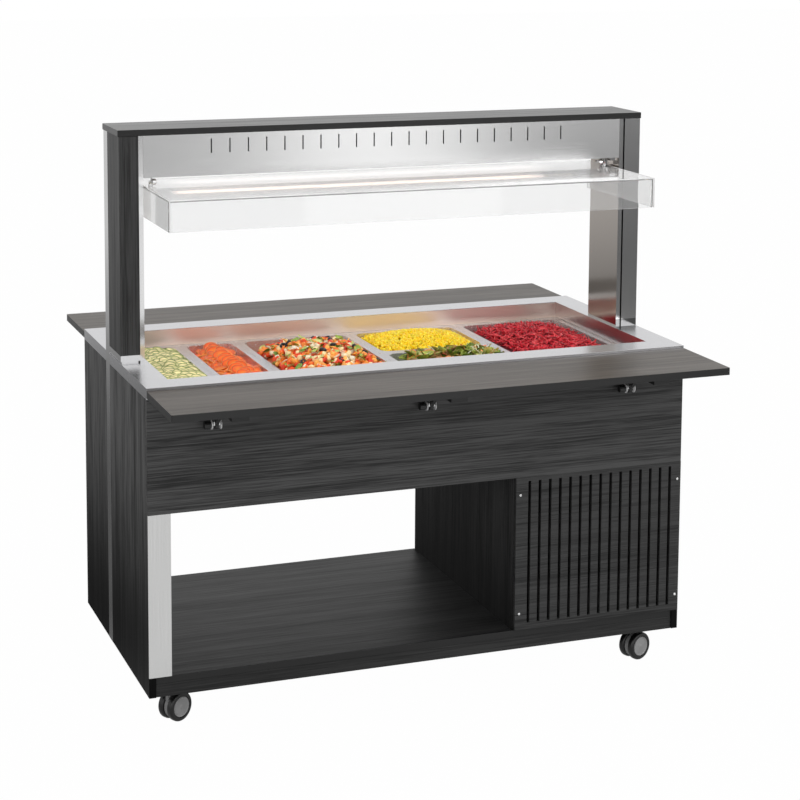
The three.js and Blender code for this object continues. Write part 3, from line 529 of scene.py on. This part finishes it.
def makeCasters():
    rim, inner, outer, soft, hub = take(caster, "radius", "inner", "outer", "round", "hub")
    groove, sunk = caster["groove"], caster["sunk"]
    quarter = [math.radians(15 * step) for step in range(7)]
    half = [(caster["axle"], inner), (rim - soft, inner)]
    for turn in quarter[1:]:
        half.append((rim - soft + soft * math.sin(turn), inner + soft - soft * math.cos(turn)))
    for turn in quarter:
        half.append((rim - soft + soft * math.cos(turn), outer - soft + soft * math.sin(turn)))
    half += [(hub + groove, outer), (hub, outer - groove), (hub, outer - sunk), (0, outer - sunk)]
    tyre = [(0, sunk - outer)] + [(r, -y) for r, y in reversed(half[:-1])] + half
    for corner, angle, side, (x, y) in zip(corners, *take(caster, "angles", "trails", "places")):
        turn = math.radians(angle)
        place = Vector((x, y, rim)) + Vector((math.cos(turn), math.sin(turn), 0)) * caster["trail"] * side
        axle = moved(place) @ spun(turn, 4, "Z") @ spun(-math.pi / 2, 4, "X")
        body = f"wheels_{corner}"
        tyres, hubs = Shapes(), Shapes()
        tyres.put(lathe(tyre, caster["sides"]), axle)
        made = tyres.finish(f"casterTyres_{corner}", body, plastics["tyre"], "caster_rubber")
        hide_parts(f"caster_wheels_{corner}")
        for turned in (0, math.pi):
            seat = spun(turned, 4, "X") @ moved((0, 0, outer - caster["seat"]))
            hubs.put(lathe(caster["disc"], caster["sides"]), axle @ seat)
        hubs.finish(f"casterHubs_{corner}", body, plastics["hub"], "grey_plastic")


# small fasteners

screw = {
    "radius": 0.0036, "rise": 0.0014, "recess": 0.0018, "sides": 28, "columns": (0.2602, 0.7178),
    "rows": (0.1933, 0.512), "face": 0.358, "bracket": (0.6242, -0.045, 1.3295), "bracketSize": 1.7,
}


def screwHead(size=1.0):
    radius, rise, recess = (screw[key] * size for key in ("radius", "rise", "recess"))
    profile = [(radius, -0.0004), (radius, rise * 0.35), (radius * 0.86, rise * 0.8), (radius * 0.62, rise),
               (recess, rise), (recess * 0.9, rise * 0.3), (0, rise * 0.25)]
    return lathe(profile, screw["sides"])


def makeScrews():
    panel, brackets = Shapes(), Shapes()
    for side in (-1, 1):
        out = spun(side * -math.pi / 2, 4, "X")
        for x in screw["columns"]:
            for z in screw["rows"]:
                panel.put(screwHead(), moved((x, side * screw["face"], z)) @ out)
        x, y, z = screw["bracket"]
        inwards = spun(side * -math.pi / 2, 4, "Y")
        brackets.put(screwHead(screw["bracketSize"]), moved((side * x, y, z)) @ inwards)
    panel.finish("panelScrews", "cart", metals["screw"], "brushed_steel")
    brackets.finish("bracketScrews", "cart", metals["screw"], "brushed_steel")


# painted highlights: pale strips along the bends of the hood's sheet

bendHighlight = {"tone": 0.86, "rough": 0.25, "inset": 0.38, "edge": 0.45}


def makeBendHighlights():
    # painted highlight colour for the bent edges
    pale = makePlain("acrylicBendHighlight", grey(bendHighlight["tone"]), bendHighlight["rough"], grain=300, depth=0.00002,
                     spread=0.05)
    side, front, rear, low, high = acrylic["box"]
    rim = acrylic["rim"]
    inset, edge = rim * bendHighlight["inset"], rim * bendHighlight["edge"]
    highlightStrips = Shapes()
    highlightStrips.put(softBlock(2 * side, rim, rim, edge), moved((0, front + inset, high - inset)))
    for x in (inset - side, side - inset):
        along = moved((x, (rear + front) / 2, high - inset))
        highlightStrips.put(softBlock(rim, rear - front, rim, edge), along)
        upright = moved((x, front + inset, (high + low) / 2))
        highlightStrips.put(softBlock(rim, rim, high - low, edge), upright)
    highlightStrips.finish("hoodBendHighlights", "hood", pale, "clear_acrylic")


# painted shade: dark plates inside the canopy's channel, standing for the shade seen through its slots

slotShade = {"size": (1.318, 0.002, 0.098), "edge": 0.0005, "place": (0.0822, 1.3995)}


def makeSlotShade():
    plate = Shapes()
    away, height = slotShade["place"]
    for side in (-1, 1):
        # painted shade: a dark plate behind each row of slots
        plate.put(softBlock(*slotShade["size"], slotShade["edge"]), moved((0, side * away, height)))
    plate.finish("channelSlotShade", "cart", plastics["coat"], "black_plastic")


# chrome cheeks beside the ears of the shelf hinges, painted near-white as a painted glint

cheek = {
    "places": (-0.56, 0.0, 0.56), "apart": 0.0113, "radius": 0.0118, "half": 0.0018, "soft": 0.001,
    "axis": (0.375, 0.776), "sides": 40,
}


def makeCheeks():
    radius, half, soft = take(cheek, "radius", "half", "soft")
    upper = [(radius, half * 0.3), (radius - soft, half * 0.8), (radius * 0.55, half), (0, half)]
    plate = lathe([(out, -up) for out, up in reversed(upper)] + upper, cheek["sides"])
    # painted glint: near-white and almost non-metal
    glintPaint = makePlain("cheekPaintedGlint", grey(0.95), 0.3, metal=0.1, grain=700, depth=0.00002, spread=0.06)
    away, height = cheek["axis"]
    for side, name in ((-1, "front"), (1, "rear")):
        cheeks = Shapes()
        for x in cheek["places"]:
            for place in (-cheek["apart"], cheek["apart"]):
                spot = moved((x + place, side * away, height))
                cheeks.put(plate, spot @ spun(math.pi / 2, 4, "Y"))
        cheeks.finish(f"hingeCheeks_{name}", "cart", glintPaint, "brushed_steel")


# control: dark glass with two lit figures

control = {
    "display": (0.52975, 0.687), "face": 0.3605, "size": (0.0436, 0.0216), "thick": 0.001,
    "edge": 0.0004, "sunk": 0.0007, "figures": ("abcdef", "bcfg"), "tall": 0.0105, "wide": 0.0056,
    "stroke": 0.0011, "relief": 0.0004, "first": 0.006, "step": 0.0115,
}
segments = {"a": (0, 2), "b": (-1, 1), "c": (-1, -1), "d": (0, -2), "e": (1, -1), "f": (1, 1), "g": (0, 0)}


def makeControl():
    dark = makePlain("displayGlass", (0.012, 0.004, 0.004), 0.08, grain=200, depth=0.00001, spread=0.03)
    lit = Finish("displayGlow", {"Base Color": (0.5, 0.03, 0.01), "Roughness": 0.4, "Emission Strength": 1.6})
    flicker = lit.noise(900, 1, 0.5)
    lit.set({"Emission Color": lit.mixed(flicker, (1.0, 0.1, 0.03), (0.8, 0.06, 0.02))})
    x, z = control["display"]
    width, height = control["size"]
    glass, figures = Shapes(), Shapes()
    glass.put(softBlock(width, control["thick"], height, control["edge"]),
              moved((x, control["face"] - control["sunk"], z)))
    glass.finish("displayCover", "cart", dark, "black_plastic")
    tall, wide, stroke, relief = take(control, "tall", "wide", "stroke", "relief")
    for place, figure in enumerate(control["figures"]):
        middle = x + control["first"] - control["step"] * place
        for key in figure:
            across, up = segments[key]
            width, height = (stroke, tall / 2) if across else (wide, stroke)
            spot = moved((middle + across * wide / 2, control["face"] - 0.0001, z + up * tall / 4))
            figures.put(softBlock(width * 0.92, relief, height * 0.88, 0.00012, 1), spot)
    figures.finish("displayFigures", "cart", lit.material, "black_plastic")


makeCasters()
makeScrews()
makeBendHighlights()
makeSlotShade()
makeCheeks()
makeControl()
print("casters, screws and control done")

# food, one heap of small bodies for each pan

def makeFood(name, rough, grain, depth, shine):
    made = Finish(name, {"Coat Weight": shine, "Coat Roughness": 0.12, "Specular IOR Level": 0.28})
    tint = made.add("Attribute", {"attribute_name": "tint"}, {}, "Color")
    fibre = made.noise(grain, 3, 0.6)
    cloud = made.noise(60, 2, 0.5)
    shade = made.ramp(cloud, (0.3, grey(0.84)), (0.7, grey(1.1)))
    made.set({"Base Color": made.mixed(1.0, tint, shade, "MULTIPLY"),
              "Roughness": rough + (fibre - 0.5) * 0.3})
    made.bump(fibre, 0.5, depth)
    return made.material


def some(dice, *spans):  # one value from each span
    return [dice.uniform(*span) for span in spans]


def anyTurn(dice):
    return dice.uniform(0, 6.3)


def off(dice, most):  # up to this much to either side
    return dice.uniform(-most, most)


def ball(rings, sides, push, square, seed):  # rounded body, lumpier with push and boxier with square
    dice = random.Random(seed)
    turns = [math.pi * ring / rings for ring in range(rings + 1)]
    profile = [(math.sin(turn), -math.cos(turn)) for turn in turns]
    profile[0], profile[-1] = (0, -1), (0, 1)
    points, faces, tones = lathe(profile, sides)
    for point in points:
        size = sum(abs(part) ** square for part in point) ** (1 / square)
        point *= (1 + off(dice, push)) / size
    return points, faces, tones


def disc(rings, sides):  # round slice one unit thick: (radius, tone) from the middle out
    profile = [(radius, 0.5) for radius, tone in rings] + [(rings[-1][0], -0.5), (0, -0.5)]
    points, faces, tones = lathe(profile, sides)
    shades = [tone for radius, tone in rings] + [rings[-1][1], rings[0][1]]
    tones = [shade for (radius, height), shade in zip(profile, shades)
             for each in range(sides if radius else 1)]
    return points, [face[::-1] for face in faces], tones


shredded = {"steps": 4, "twist": 1.2, "sag": 0.5, "level": 0.08, "wave": 0.12, "tip": 0.55}


def shred(dice, length, wide, thick, bend):  # thin curved strip
    points, faces = [], []
    steps, twist, sag, level, wave, tip = shredded.values()
    turn, twist = off(dice, bend), off(dice, twist)
    for step in range(steps + 1):
        t = step / steps - 0.5
        angle = turn * t
        aside = length * turn * (t * t - level) * sag
        middle = Vector((length * t, aside, wave * length * math.sin(3 * t + twist)))
        across = Vector((-math.sin(angle), math.cos(angle), twist * t)).normalized()
        up = Vector((0, -twist * t, 1)).normalized()
        taper = tip + (1 - tip) * (1 - (2 * t) ** 2)
        for a, b in ((1, 1), (-1, 1), (-1, -1), (1, -1)):
            points.append(middle + across * (a * wide * taper / 2) + up * (b * thick * taper / 2))
    for step in range(steps):
        for side in range(4):
            a, b = step * 4 + side, step * 4 + (side + 1) % 4
            faces.append((a, b, b + 4, a + 4))
    faces += [(3, 2, 1, 0), tuple(steps * 4 + side for side in range(4))]
    return points, faces, [(1, 1, 1)] * len(points)


blade = {
    "along": 7, "across": 6, "curl": (-0.5, 0.7), "wave": (0.05, 0.13), "turn": (0, 6), "fold": 0.35,
    "rib": (1.35, 1.3, 1.2),
}


def leaf(dice, length, wide, edge):  # wavy leaf with a paler rib and another tone at its edge
    points, faces, tones = [], [], []
    along, across, curl, wave, turn, fold, rib = blade.values()
    curl, wave, turn = some(dice, curl, wave, turn)
    for i in range(along + 1):
        t = i / along
        half = wide / 2 * math.sin(math.pi * min(0.04 + 0.93 * t, 1)) ** 0.7 * (1 - 0.25 * t)
        for j in range(across + 1):
            s = 2 * j / across - 1
            lift = curl * length * (t - 0.4) ** 2 + abs(s) * half * fold
            lift += wave * wide * math.sin(7 * t + 3 * s + turn) * abs(s)
            points.append(Vector((length * (t - 0.5), half * s, lift)))
            outside = abs(s) > 0.9 or t > 0.95
            tones.append(edge if outside else rib if abs(s) < 0.1 else (1, 1, 1))
    row = across + 1
    for i in range(along):
        for j in range(across):
            faces.append((i * row + j, (i + 1) * row + j, (i + 1) * row + j + 1, i * row + j + 1))
    return points, faces, tones


panWall = 0.0165  # from a pan's outline to the inside of its wall
rounding = 0.024  # corner radius of a heap's bed


def panSpace(index, left, right, front, rear):  # room for a heap, and the rim's height
    low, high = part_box(f"pan_{index}")
    x0, x1, y0, y1 = low.x + panWall, high.x - panWall, low.y + panWall, high.y - panWall
    return x0 + left, x1 - right, y0 + front, y1 - rear, high.z


def bed(heap, space, height, tone, corner, steps=26, deep=0.06):  # closed mass under the top layer, standing for the food beneath; each food gives it a tone darker than its pieces, painted shade in the gaps
    x0, x1, y0, y1, rim = space
    middleX, middleY, halfX, halfY = (x0 + x1) / 2, (y0 + y1) / 2, (x1 - x0) / 2, (y1 - y0) / 2
    grid = []
    for i in range(steps + 1):
        for j in range(steps + 1):
            u, v = 2 * i / steps - 1, 2 * j / steps - 1
            x, y = middleX + u * halfX, middleY + v * halfY
            overX, overY = abs(u) * halfX - halfX + corner, abs(v) * halfY - halfY + corner
            far = math.hypot(overX, overY)
            if overX > 0 and overY > 0 and far > corner:  # rounds the corner
                x -= math.copysign(overX * (1 - corner / far), u)
                y -= math.copysign(overY * (1 - corner / far), v)
            grid.append(Vector((x, y, height(x, y))))
    row = steps + 1
    faces = [(i * row + j, (i + 1) * row + j, (i + 1) * row + j + 1, i * row + j + 1)
             for i in range(steps) for j in range(steps)]
    loop = [i * row for i in range(steps)] + [steps * row + j for j in range(steps)]
    loop += [i * row + steps for i in range(steps, 0, -1)] + list(range(steps, 0, -1))
    start, count = len(grid), len(loop)
    grid += [Vector((grid[place].x, grid[place].y, rim - deep)) for place in loop]
    faces += [(loop[k], start + k, start + (k + 1) % count, loop[(k + 1) % count]) for k in range(count)]
    faces.append(tuple(start + k for k in range(count)))
    heap.put((grid, faces, [tone] * len(grid)), Matrix.Identity(4))


def mound(space, edge, top, spread, soft=0.7):  # height that swells from a heap's sides to its middle
    x0, x1, y0, y1, rim = space

    def height(x, y):
        u = min(abs(2 * (x - x0) / (x1 - x0) - 1), 1)
        v = min(abs(2 * (y - y0) / (y1 - y0) - 1), 1)
        swell = (1 - u ** (2 * spread)) * (1 - v ** (2 * spread))
        return rim + edge + (top - edge) * max(swell, 0) ** soft
    return height


def scatter(dice, space, inset, corner=0.03):  # a place in the heap's rounded outline
    x0, x1, y0, y1, rim = space
    while True:
        x, y = dice.uniform(x0 + inset, x1 - inset), dice.uniform(y0 + inset, y1 - inset)
        overX = abs(x - (x0 + x1) / 2) - (x1 - x0) / 2 + inset + corner
        overY = abs(y - (y0 + y1) / 2) - (y1 - y0) / 2 + inset + corner
        if overX < 0 or overY < 0 or math.hypot(overX, overY) < corner:
            return x, y


def startHeap(kind, index, corner=rounding):  # a domed heap's bed, with its dice, height and places
    dice, heap = random.Random(kind["seed"]), Shapes()
    space = panSpace(index, *kind["room"])
    height = mound(space, kind["edge"], kind["top"], kind["spread"])
    bed(heap, space, lambda x, y: height(x, y) - kind["loose"], kind["bed"], corner)
    places = (scatter(dice, space, kind["inset"]) for each in range(kind["pieces"]))
    return dice, heap, height, places


cucumber = {
    "seed": 3, "room": [0.003] * 4, "radius": 0.016, "thick": 0.0034, "columns": 7, "rows": 38,
    "margin": 0.012, "start": 0.013, "stagger": 0.0055, "loose": 0.002, "lean": 0.4,
    "sink": 0.0085, "swell": 0.006, "low": 0.02, "bed": (0.2, 0.24, 0.06),
    "rings": ((0, (0.82, 0.74, 0.32)), (0.26, (0.82, 0.74, 0.32)), (0.4, (0.96, 0.86, 0.46)),
              (0.82, (0.96, 0.86, 0.46)), (0.89, (0.42, 0.5, 0.12)), (1, (0.06, 0.1, 0.01))),
}


def makeCucumber():
    dice, heap = random.Random(cucumber["seed"]), Shapes()
    space = panSpace(1, *cucumber["room"])
    x0, x1, y0, y1, rim = space
    shape = disc(cucumber["rings"], 20)
    bed(heap, space, lambda x, y: rim - cucumber["low"], cucumber["bed"], rounding)
    margin, loose, columns, rows = take(cucumber, "margin", "loose", "columns", "rows")
    step = (x1 - x0 - 2 * margin) / (columns - 1)
    for row in range(rows):
        t = row / (rows - 1)
        for column in range(columns):
            x = x0 + margin + column * step + off(dice, 0.003)
            y = y1 - cucumber["start"] - t * (y1 - y0 - 2 * margin)
            y += (cucumber["stagger"] if column % 2 else 0) * (1 if t < 0.95 else -1) + off(dice, loose)
            z = rim - cucumber["sink"] + cucumber["swell"] * math.sin(math.pi * (x - x0) / (x1 - x0))
            z += off(dice, loose)
            size = cucumber["radius"] * dice.uniform(0.9, 1.08)
            lean = spun(cucumber["lean"] + off(dice, 0.16), 4, "X") @ spun(off(dice, 0.2), 4, "Y")
            flat = Matrix.Diagonal((size, size, cucumber["thick"], 1))
            heap.put(shape, moved((x, y, z)) @ lean @ flat, grey(dice.uniform(0.9, 1.15)))
    heap.finish("cucumberSlices", "food_pan_1", makeFood("cucumberFlesh", 0.38, 900, 0.0003, 0.15))


carrot = {
    "seed": 5, "room": (0.003, 0.006, 0.003, 0.016), "ridge": 0.0215, "small": 0.017, "thick": 0.0034,
    "ridgeCount": 25, "smallCount": 230, "inset": 0.014, "sink": 0.011, "swell": 0.006, "loose": 0.003,
    "tumble": 0.45, "start": 0.022, "ends": 0.05, "weave": 0.01, "lean": 0.55, "ridgeSink": 0.0005,
    "arch": 0.005, "low": 0.026, "dome": 0.012, "bed": (0.8, 0.075, 0.006),
    "rings": ((0, (1, 0.2, 0.02)), (0.3, (1, 0.27, 0.03)), (0.42, (1, 0.2, 0.02)),
              (0.78, (1, 0.13, 0.01)), (0.88, (0.62, 0.04, 0.003)), (1.0, (1, 0.36, 0.09))),
}


def makeCarrot():
    dice, heap = random.Random(carrot["seed"]), Shapes()
    space = panSpace(2, *carrot["room"])
    x0, x1, y0, y1, rim = space
    middle = (x0 + x1) / 2 - 0.002
    shape = disc(carrot["rings"], 24)
    dome = lambda x, y: rim - carrot["low"] + carrot["dome"] * math.cos((x - middle) / (x1 - x0) * 2.6)
    bed(heap, space, dome, carrot["bed"], rounding)
    for each in range(carrot["smallCount"]):
        x, y = scatter(dice, space, carrot["inset"])
        aside = abs(x - middle) / (x1 - x0) * 2
        z = rim - carrot["sink"] + carrot["swell"] * (1 - aside) + off(dice, carrot["loose"])
        size = carrot["small"] * dice.uniform(0.8, 1.1)
        size = (size, size * dice.uniform(0.85, 1), carrot["thick"])
        turn, tilt, lean = anyTurn(dice), off(dice, carrot["tumble"]), off(dice, carrot["tumble"])
        heap.put(shape, pose((x, y, z), turn, tilt, lean, size), grey(dice.uniform(0.8, 1.05)))
    for step in range(carrot["ridgeCount"]):
        t = step / (carrot["ridgeCount"] - 1)
        y = y1 - carrot["start"] - t * (y1 - y0 - carrot["ends"])
        x = middle + carrot["weave"] * math.sin(step * 1.9) + off(dice, 0.006)
        z = rim - carrot["ridgeSink"] + carrot["arch"] * math.sin(math.pi * t) + off(dice, 0.002)
        size = carrot["ridge"] * dice.uniform(0.85, 1.05)
        lean = spun(off(dice, 0.3), 4, "Y") @ spun(carrot["lean"] + off(dice, 0.2), 4, "X")
        flat = Matrix.Diagonal((size, size * dice.uniform(0.8, 0.95), carrot["thick"], 1))
        heap.put(shape, moved((x, y, z)) @ lean @ flat, grey(dice.uniform(0.85, 1.1)))
    heap.finish("carrotSlices", "food_pan_2", makeFood("carrotFlesh", 0.42, 700, 0.0004, 0.12))


salad = {
    "seed": 11, "pieces": 760, "room": (0.004, 0.01, 0.004, 0.066), "edge": -0.018, "top": 0.036,
    "spread": 1.4, "loose": 0.014, "bed": (0.55, 0.12, 0.03), "inset": 0.01,
    "upTo": (0.52, 0.68, 0.73, 0.86),
    "chunk": ((0.007, 0.013), (0.006, 0.009), (0.004, 0.007)),
    "red": ((0.95, 0.1, 0.02), (1, 0.2, 0.03), (0.8, 0.05, 0.012), (1, 0.36, 0.05),
            (1, 0.28, 0.04), (1, 0.45, 0.09)),
    "crumb": (0.005, 0.009),
    "pale": ((1, 0.86, 0.58), (1, 0.8, 0.42), (1, 0.92, 0.72), (0.95, 0.72, 0.36)),
    "olive": (0.0085, 0.0105), "black": (0.014, 0.011, 0.012),
    "leaf": ((0.02, 0.034), (0.014, 0.02)), "leafEdge": (0.9, 1.0, 0.7),
    "green": ((0.3, 0.44, 0.06), (0.5, 0.6, 0.16), (0.16, 0.28, 0.04), (0.62, 0.66, 0.24)),
    "strip": (0.018, 0.03), "stripSection": (0.005, 0.0028, 1.6),
    "stripTone": ((1, 0.42, 0.05), (0.95, 0.75, 0.55), (0.85, 0.1, 0.03)),
}


def makeSalad():
    dice, heap, height, places = startHeap(salad, 3)
    cubes = [ball(6, 8, 0.1, 7.0, seed) for seed in range(6)]
    wedges = [ball(6, 10, 0.16, 2.6, seed + 20) for seed in range(6)]
    ring = [(0.45, -0.8), (0.85, -0.75), (1.0, 0), (0.85, 0.75), (0.45, 0.8), (0.38, 0), (0.45, -0.8)]
    ring = lathe(ring, 16)
    chunks, crumbs, rings, leaves = salad["upTo"]
    for x, y in places:
        z = height(x, y) + dice.uniform(-0.01, 0.002)
        turn, tilt, lean = (anyTurn(dice) for angle in range(3))
        kind = dice.random()
        if kind < chunks:  # tomato and pepper
            size = some(dice, *salad["chunk"])
            heap.put(dice.choice(wedges), pose((x, y, z), turn, tilt, lean, size), dice.choice(salad["red"]))
        elif kind < crumbs:  # cheese and egg
            size = some(dice, *[salad["crumb"]] * 3)
            tone = dice.choice(salad["pale"])
            heap.put(dice.choice(cubes), pose((x, y, z + 0.001), turn, tilt, lean, size), tone)
        elif kind < rings:  # olive
            size = dice.uniform(*salad["olive"])
            place = pose((x, y, z + 0.005), turn, off(dice, 0.8), off(dice, 0.8), (size, size, size * 0.6))
            heap.put(ring, place, salad["black"])
        elif kind < leaves:
            shape = leaf(dice, *some(dice, *salad["leaf"]), salad["leafEdge"])
            tone = dice.choice(salad["green"])
            place = pose((x, y, z + 0.006), turn, off(dice, 0.6), off(dice, 0.6))
            heap.put(shape, place, tone)
        else:  # carrot and onion strips
            shape = shred(dice, dice.uniform(*salad["strip"]), *salad["stripSection"])
            tone = dice.choice(salad["stripTone"])
            heap.put(shape, pose((x, y, z + 0.007), turn, off(dice, 0.4), lean), tone)
    heap.finish("mixedSalad", "food_pan_3", makeFood("saladMix", 0.38, 600, 0.0006, 0.2))


corn = {
    "seed": 17, "pieces": 2100, "room": (0.006, 0.01, 0.004, 0.01), "edge": -0.01, "top": 0.018,
    "spread": 1.1, "loose": 0.005, "bed": (0.85, 0.52, 0.01), "inset": 0.004,
    "kernel": ((0.0044, 0.0056), (0.0036, 0.0046), (0.0026, 0.0036)),
    "yellow": ((1, 0.76, 0.008), (1, 0.7, 0.006), (1, 0.84, 0.05), (1, 0.64, 0.005)),
}


def makeCorn():
    dice, heap, height, places = startHeap(corn, 4, 0.04)
    kernels = [ball(4, 7, 0.1, 2.7, seed + 60) for seed in range(5)]
    for x, y in places:
        size = some(dice, *corn["kernel"])
        tone, shape = dice.choice(corn["yellow"]), dice.choice(kernels)
        z = height(x, y) + dice.uniform(-0.003, 0.002)
        heap.put(shape, pose((x, y, z), *(anyTurn(dice) for angle in range(3)), size), tone)
    heap.finish("sweetCorn", "food_pan_4", makeFood("cornSkin", 0.34, 900, 0.0002, 0.2))


greens = {
    "seed": 23, "pieces": 150, "room": (0.003, 0.008, 0.002, 0.05), "edge": -0.008, "top": 0.024,
    "spread": 1.2, "loose": 0.018, "bed": (0.07, 0.1, 0.02), "inset": 0.016,
    "size": ((0.034, 0.06), (0.02, 0.034)),
    "rims": ((0.8, 0.9, 0.6), (2.4, 0.5, 0.6), (1.6, 0.8, 0.9), (1.1, 1.1, 0.8)),
    "tones": ((0.24, 0.3, 0.04), (0.36, 0.42, 0.08), (0.12, 0.18, 0.02), (0.52, 0.55, 0.2),
              (0.36, 0.2, 0.08)),
    "stalks": 10, "stalk": (0.03, 0.05), "stalkSection": (0.003, 0.002, 1.6), "pale": (0.8, 0.84, 0.6),
    "thick": 0.0006,
}


def makeLeaves():
    dice, heap, height, places = startHeap(greens, 5)
    for x, y in places:
        rim = dice.choice(greens["rims"])
        shape = leaf(dice, *some(dice, *greens["size"]), rim)
        tone = dice.choice(greens["tones"])
        z = height(x, y) + dice.uniform(-0.006, 0.005)
        place = pose((x, y, z), anyTurn(dice), off(dice, 0.8), off(dice, 0.9))
        heap.put(shape, place, tone)
    space = panSpace(5, *greens["room"])
    for each in range(greens["stalks"]):
        x, y = scatter(dice, space, 0.02)
        shape = shred(dice, dice.uniform(*greens["stalk"]), *greens["stalkSection"])
        place = pose((x, y, height(x, y) + 0.006), anyTurn(dice), off(dice, 0.6))
        heap.put(shape, place, greens["pale"])
    made = heap.finish("leafSalad", "food_pan_5", makeFood("saladLeaf", 0.4, 400, 0.0005, 0.1))
    made.modifiers.new("leafThickness", "SOLIDIFY").thickness = greens["thick"]


beet = {
    "seed": 29, "pieces": 2600, "room": (0.018, 0.026, 0.004, 0.022), "edge": -0.014, "top": 0.024,
    "spread": 1.2, "loose": 0.006, "bed": (0.14, 0.006, 0.014), "inset": 0.006,
    "length": (0.018, 0.034), "wide": (0.0026, 0.004), "thick": 0.0022, "bend": 2.2,
    "tones": ((0.68, 0.01, 0.03), (0.48, 0.006, 0.016), (0.8, 0.03, 0.055), (0.28, 0.004, 0.01),
              (0.85, 0.08, 0.09)),
}


def makeBeet():
    dice, heap, height, places = startHeap(beet, 6)
    for x, y in places:
        shape = shred(dice, *some(dice, beet["length"], beet["wide"]), beet["thick"], beet["bend"])
        tone = dice.choice(beet["tones"])
        z = height(x, y) + dice.uniform(-0.004, 0.005)
        heap.put(shape, pose((x, y, z), anyTurn(dice), off(dice, 0.5), anyTurn(dice)), tone)
    heap.finish("gratedBeetroot", "food_pan_6", makeFood("beetFlesh", 0.42, 900, 0.0003, 0.2))


for cook in (makeCucumber, makeCarrot, makeSalad, makeCorn, makeLeaves, makeBeet):
    cook()
print("food laid in the pans")

# floor, lights and camera

stage = {
    "floor": 0.42, "seen": 0.99, "gloss": 0.72, "sky": 0.58, "skyGloss": 0.95, "size": 60,
    "across": (1.4, 2.8), "along": (-0.9, 0.6), "behind": (1.5, 8.0), "far": 1.0, "dim": 0.06,
    "mirrored": 0.75,
}


def makeStage():
    bpy.ops.mesh.primitive_plane_add(size=stage["size"], location=(0, 0, 0))
    ground = bpy.context.object
    ground.name = "studioFloor"
    paper = Finish("studioPaper", {"Roughness": 0.9, "Specular IOR Level": 0.0})
    mirror = paper.ray("Glossy")
    shade = (1.0 - mirror * stage["mirrored"]) * stage["floor"]
    paper.set({"Base Color": paper.even(shade)})
    bright = paper.add("Emission", {}, {"Color": grey(1.0), "Strength": 1.0})
    dim = stage["dim"]
    near = slope(paper, "Y", *stage["along"], 1.0, dim)
    near = near + slope(paper, "Y", *stage["behind"], 0.0, stage["far"])
    card = slope(paper, "X", *stage["across"], 1.0, dim) * near
    share = paper.ray("Camera", "Transmission") * stage["seen"] + mirror * card * stage["gloss"]
    mix = paper.add("MixShader", {}, {0: share, 1: Wire(paper, paper.shader.outputs[0]), 2: bright})
    paper.feed(paper.tree.nodes["Material Output"].inputs[0], mix)
    dress(ground, paper.material)


def makeSky():
    world = bpy.data.worlds.new("studioSky")
    world.use_nodes = True
    scene.world = world
    sky = Graph(world.node_tree)
    soft = Wire(sky, world.node_tree.nodes["Background"].outputs[0])
    sky.feed(world.node_tree.nodes["Background"].inputs["Color"], grey(1.0))
    sky.feed(world.node_tree.nodes["Background"].inputs["Strength"], stage["sky"])
    white = sky.add("Background", {}, {"Color": grey(1.0), "Strength": 1.0})
    share = sky.ray("Camera", "Transmission") + sky.ray("Glossy") * stage["skyGloss"]
    both = sky.add("MixShader", {}, {0: share, 1: soft, 2: white})
    sky.feed(world.node_tree.nodes["World Output"].inputs[0], both)


lamps = [  # name, place, aim, size, watts
    ("overhead", (0.2, -0.9, 4.6), (0, 0, 0.6), (3.6, 3.0), 66),
    ("keyLeft", (-3.6, -4.2, 3.2), (0, 0, 0.8), (2.6, 2.6), 52),
    ("fillRight", (3.6, -4.4, 2.6), (0.3, 0, 0.7), (2.4, 2.4), 42),
    ("frontCard", (1.75, -5.0, 0.85), (0.1, 0, 1.3), (1.0, 1.1), 7.5),
    ("canopyLight", (-0.05, 0.0, 1.343), (-0.05, 0.0, 0.8), (1.05, 0.04), 0.36),
]


def makeLamps():
    for name, place, aim, size, watts in lamps:
        light = bpy.data.lights.new(name, "AREA")
        light.shape = "RECTANGLE"
        light.size, light.size_y = size
        light.energy = watts
        lamp = bpy.data.objects.new(name, light)
        scene.collection.objects.link(lamp)
        lamp.location = place
        lamp.rotation_euler = (Vector(aim) - Vector(place)).to_track_quat("-Z", "Y").to_euler()
        lamp.visible_glossy = name != "canopyLight"  # its own face shines instead


view = {
    "place": (-1.82, -4.9041, 2.02465), "turn": -20.152, "drop": 6.974, "roll": 0.277, "lens": 89.15,
    "shift": (0.0337, -0.3142),
}


def makeCamera():
    turn, drop, roll = (math.radians(view[key]) for key in ("turn", "drop", "roll"))
    ahead = Vector((-math.sin(turn) * math.cos(drop), math.cos(turn) * math.cos(drop), -math.sin(drop)))
    side = ahead.cross(Vector((0, 0, 1))).normalized()
    up = side.cross(ahead)
    right = side * math.cos(roll) + up * math.sin(roll)
    top = up * math.cos(roll) - side * math.sin(roll)
    data = bpy.data.cameras.new("photoCamera")
    data.sensor_width = 36
    data.lens = view["lens"]
    data.shift_x, data.shift_y = view["shift"]
    data.clip_end = 200
    camera = bpy.data.objects.new("photoCamera", data)
    scene.collection.objects.link(camera)
    aim = Matrix((right, top, -ahead)).transposed().to_4x4()
    camera.matrix_world = moved(view["place"]) @ aim
    scene.camera = camera


makeStage()
makeSky()
makeLamps()
makeCamera()
scene.view_settings.view_transform = "Standard"
print("stage, lights and camera set")
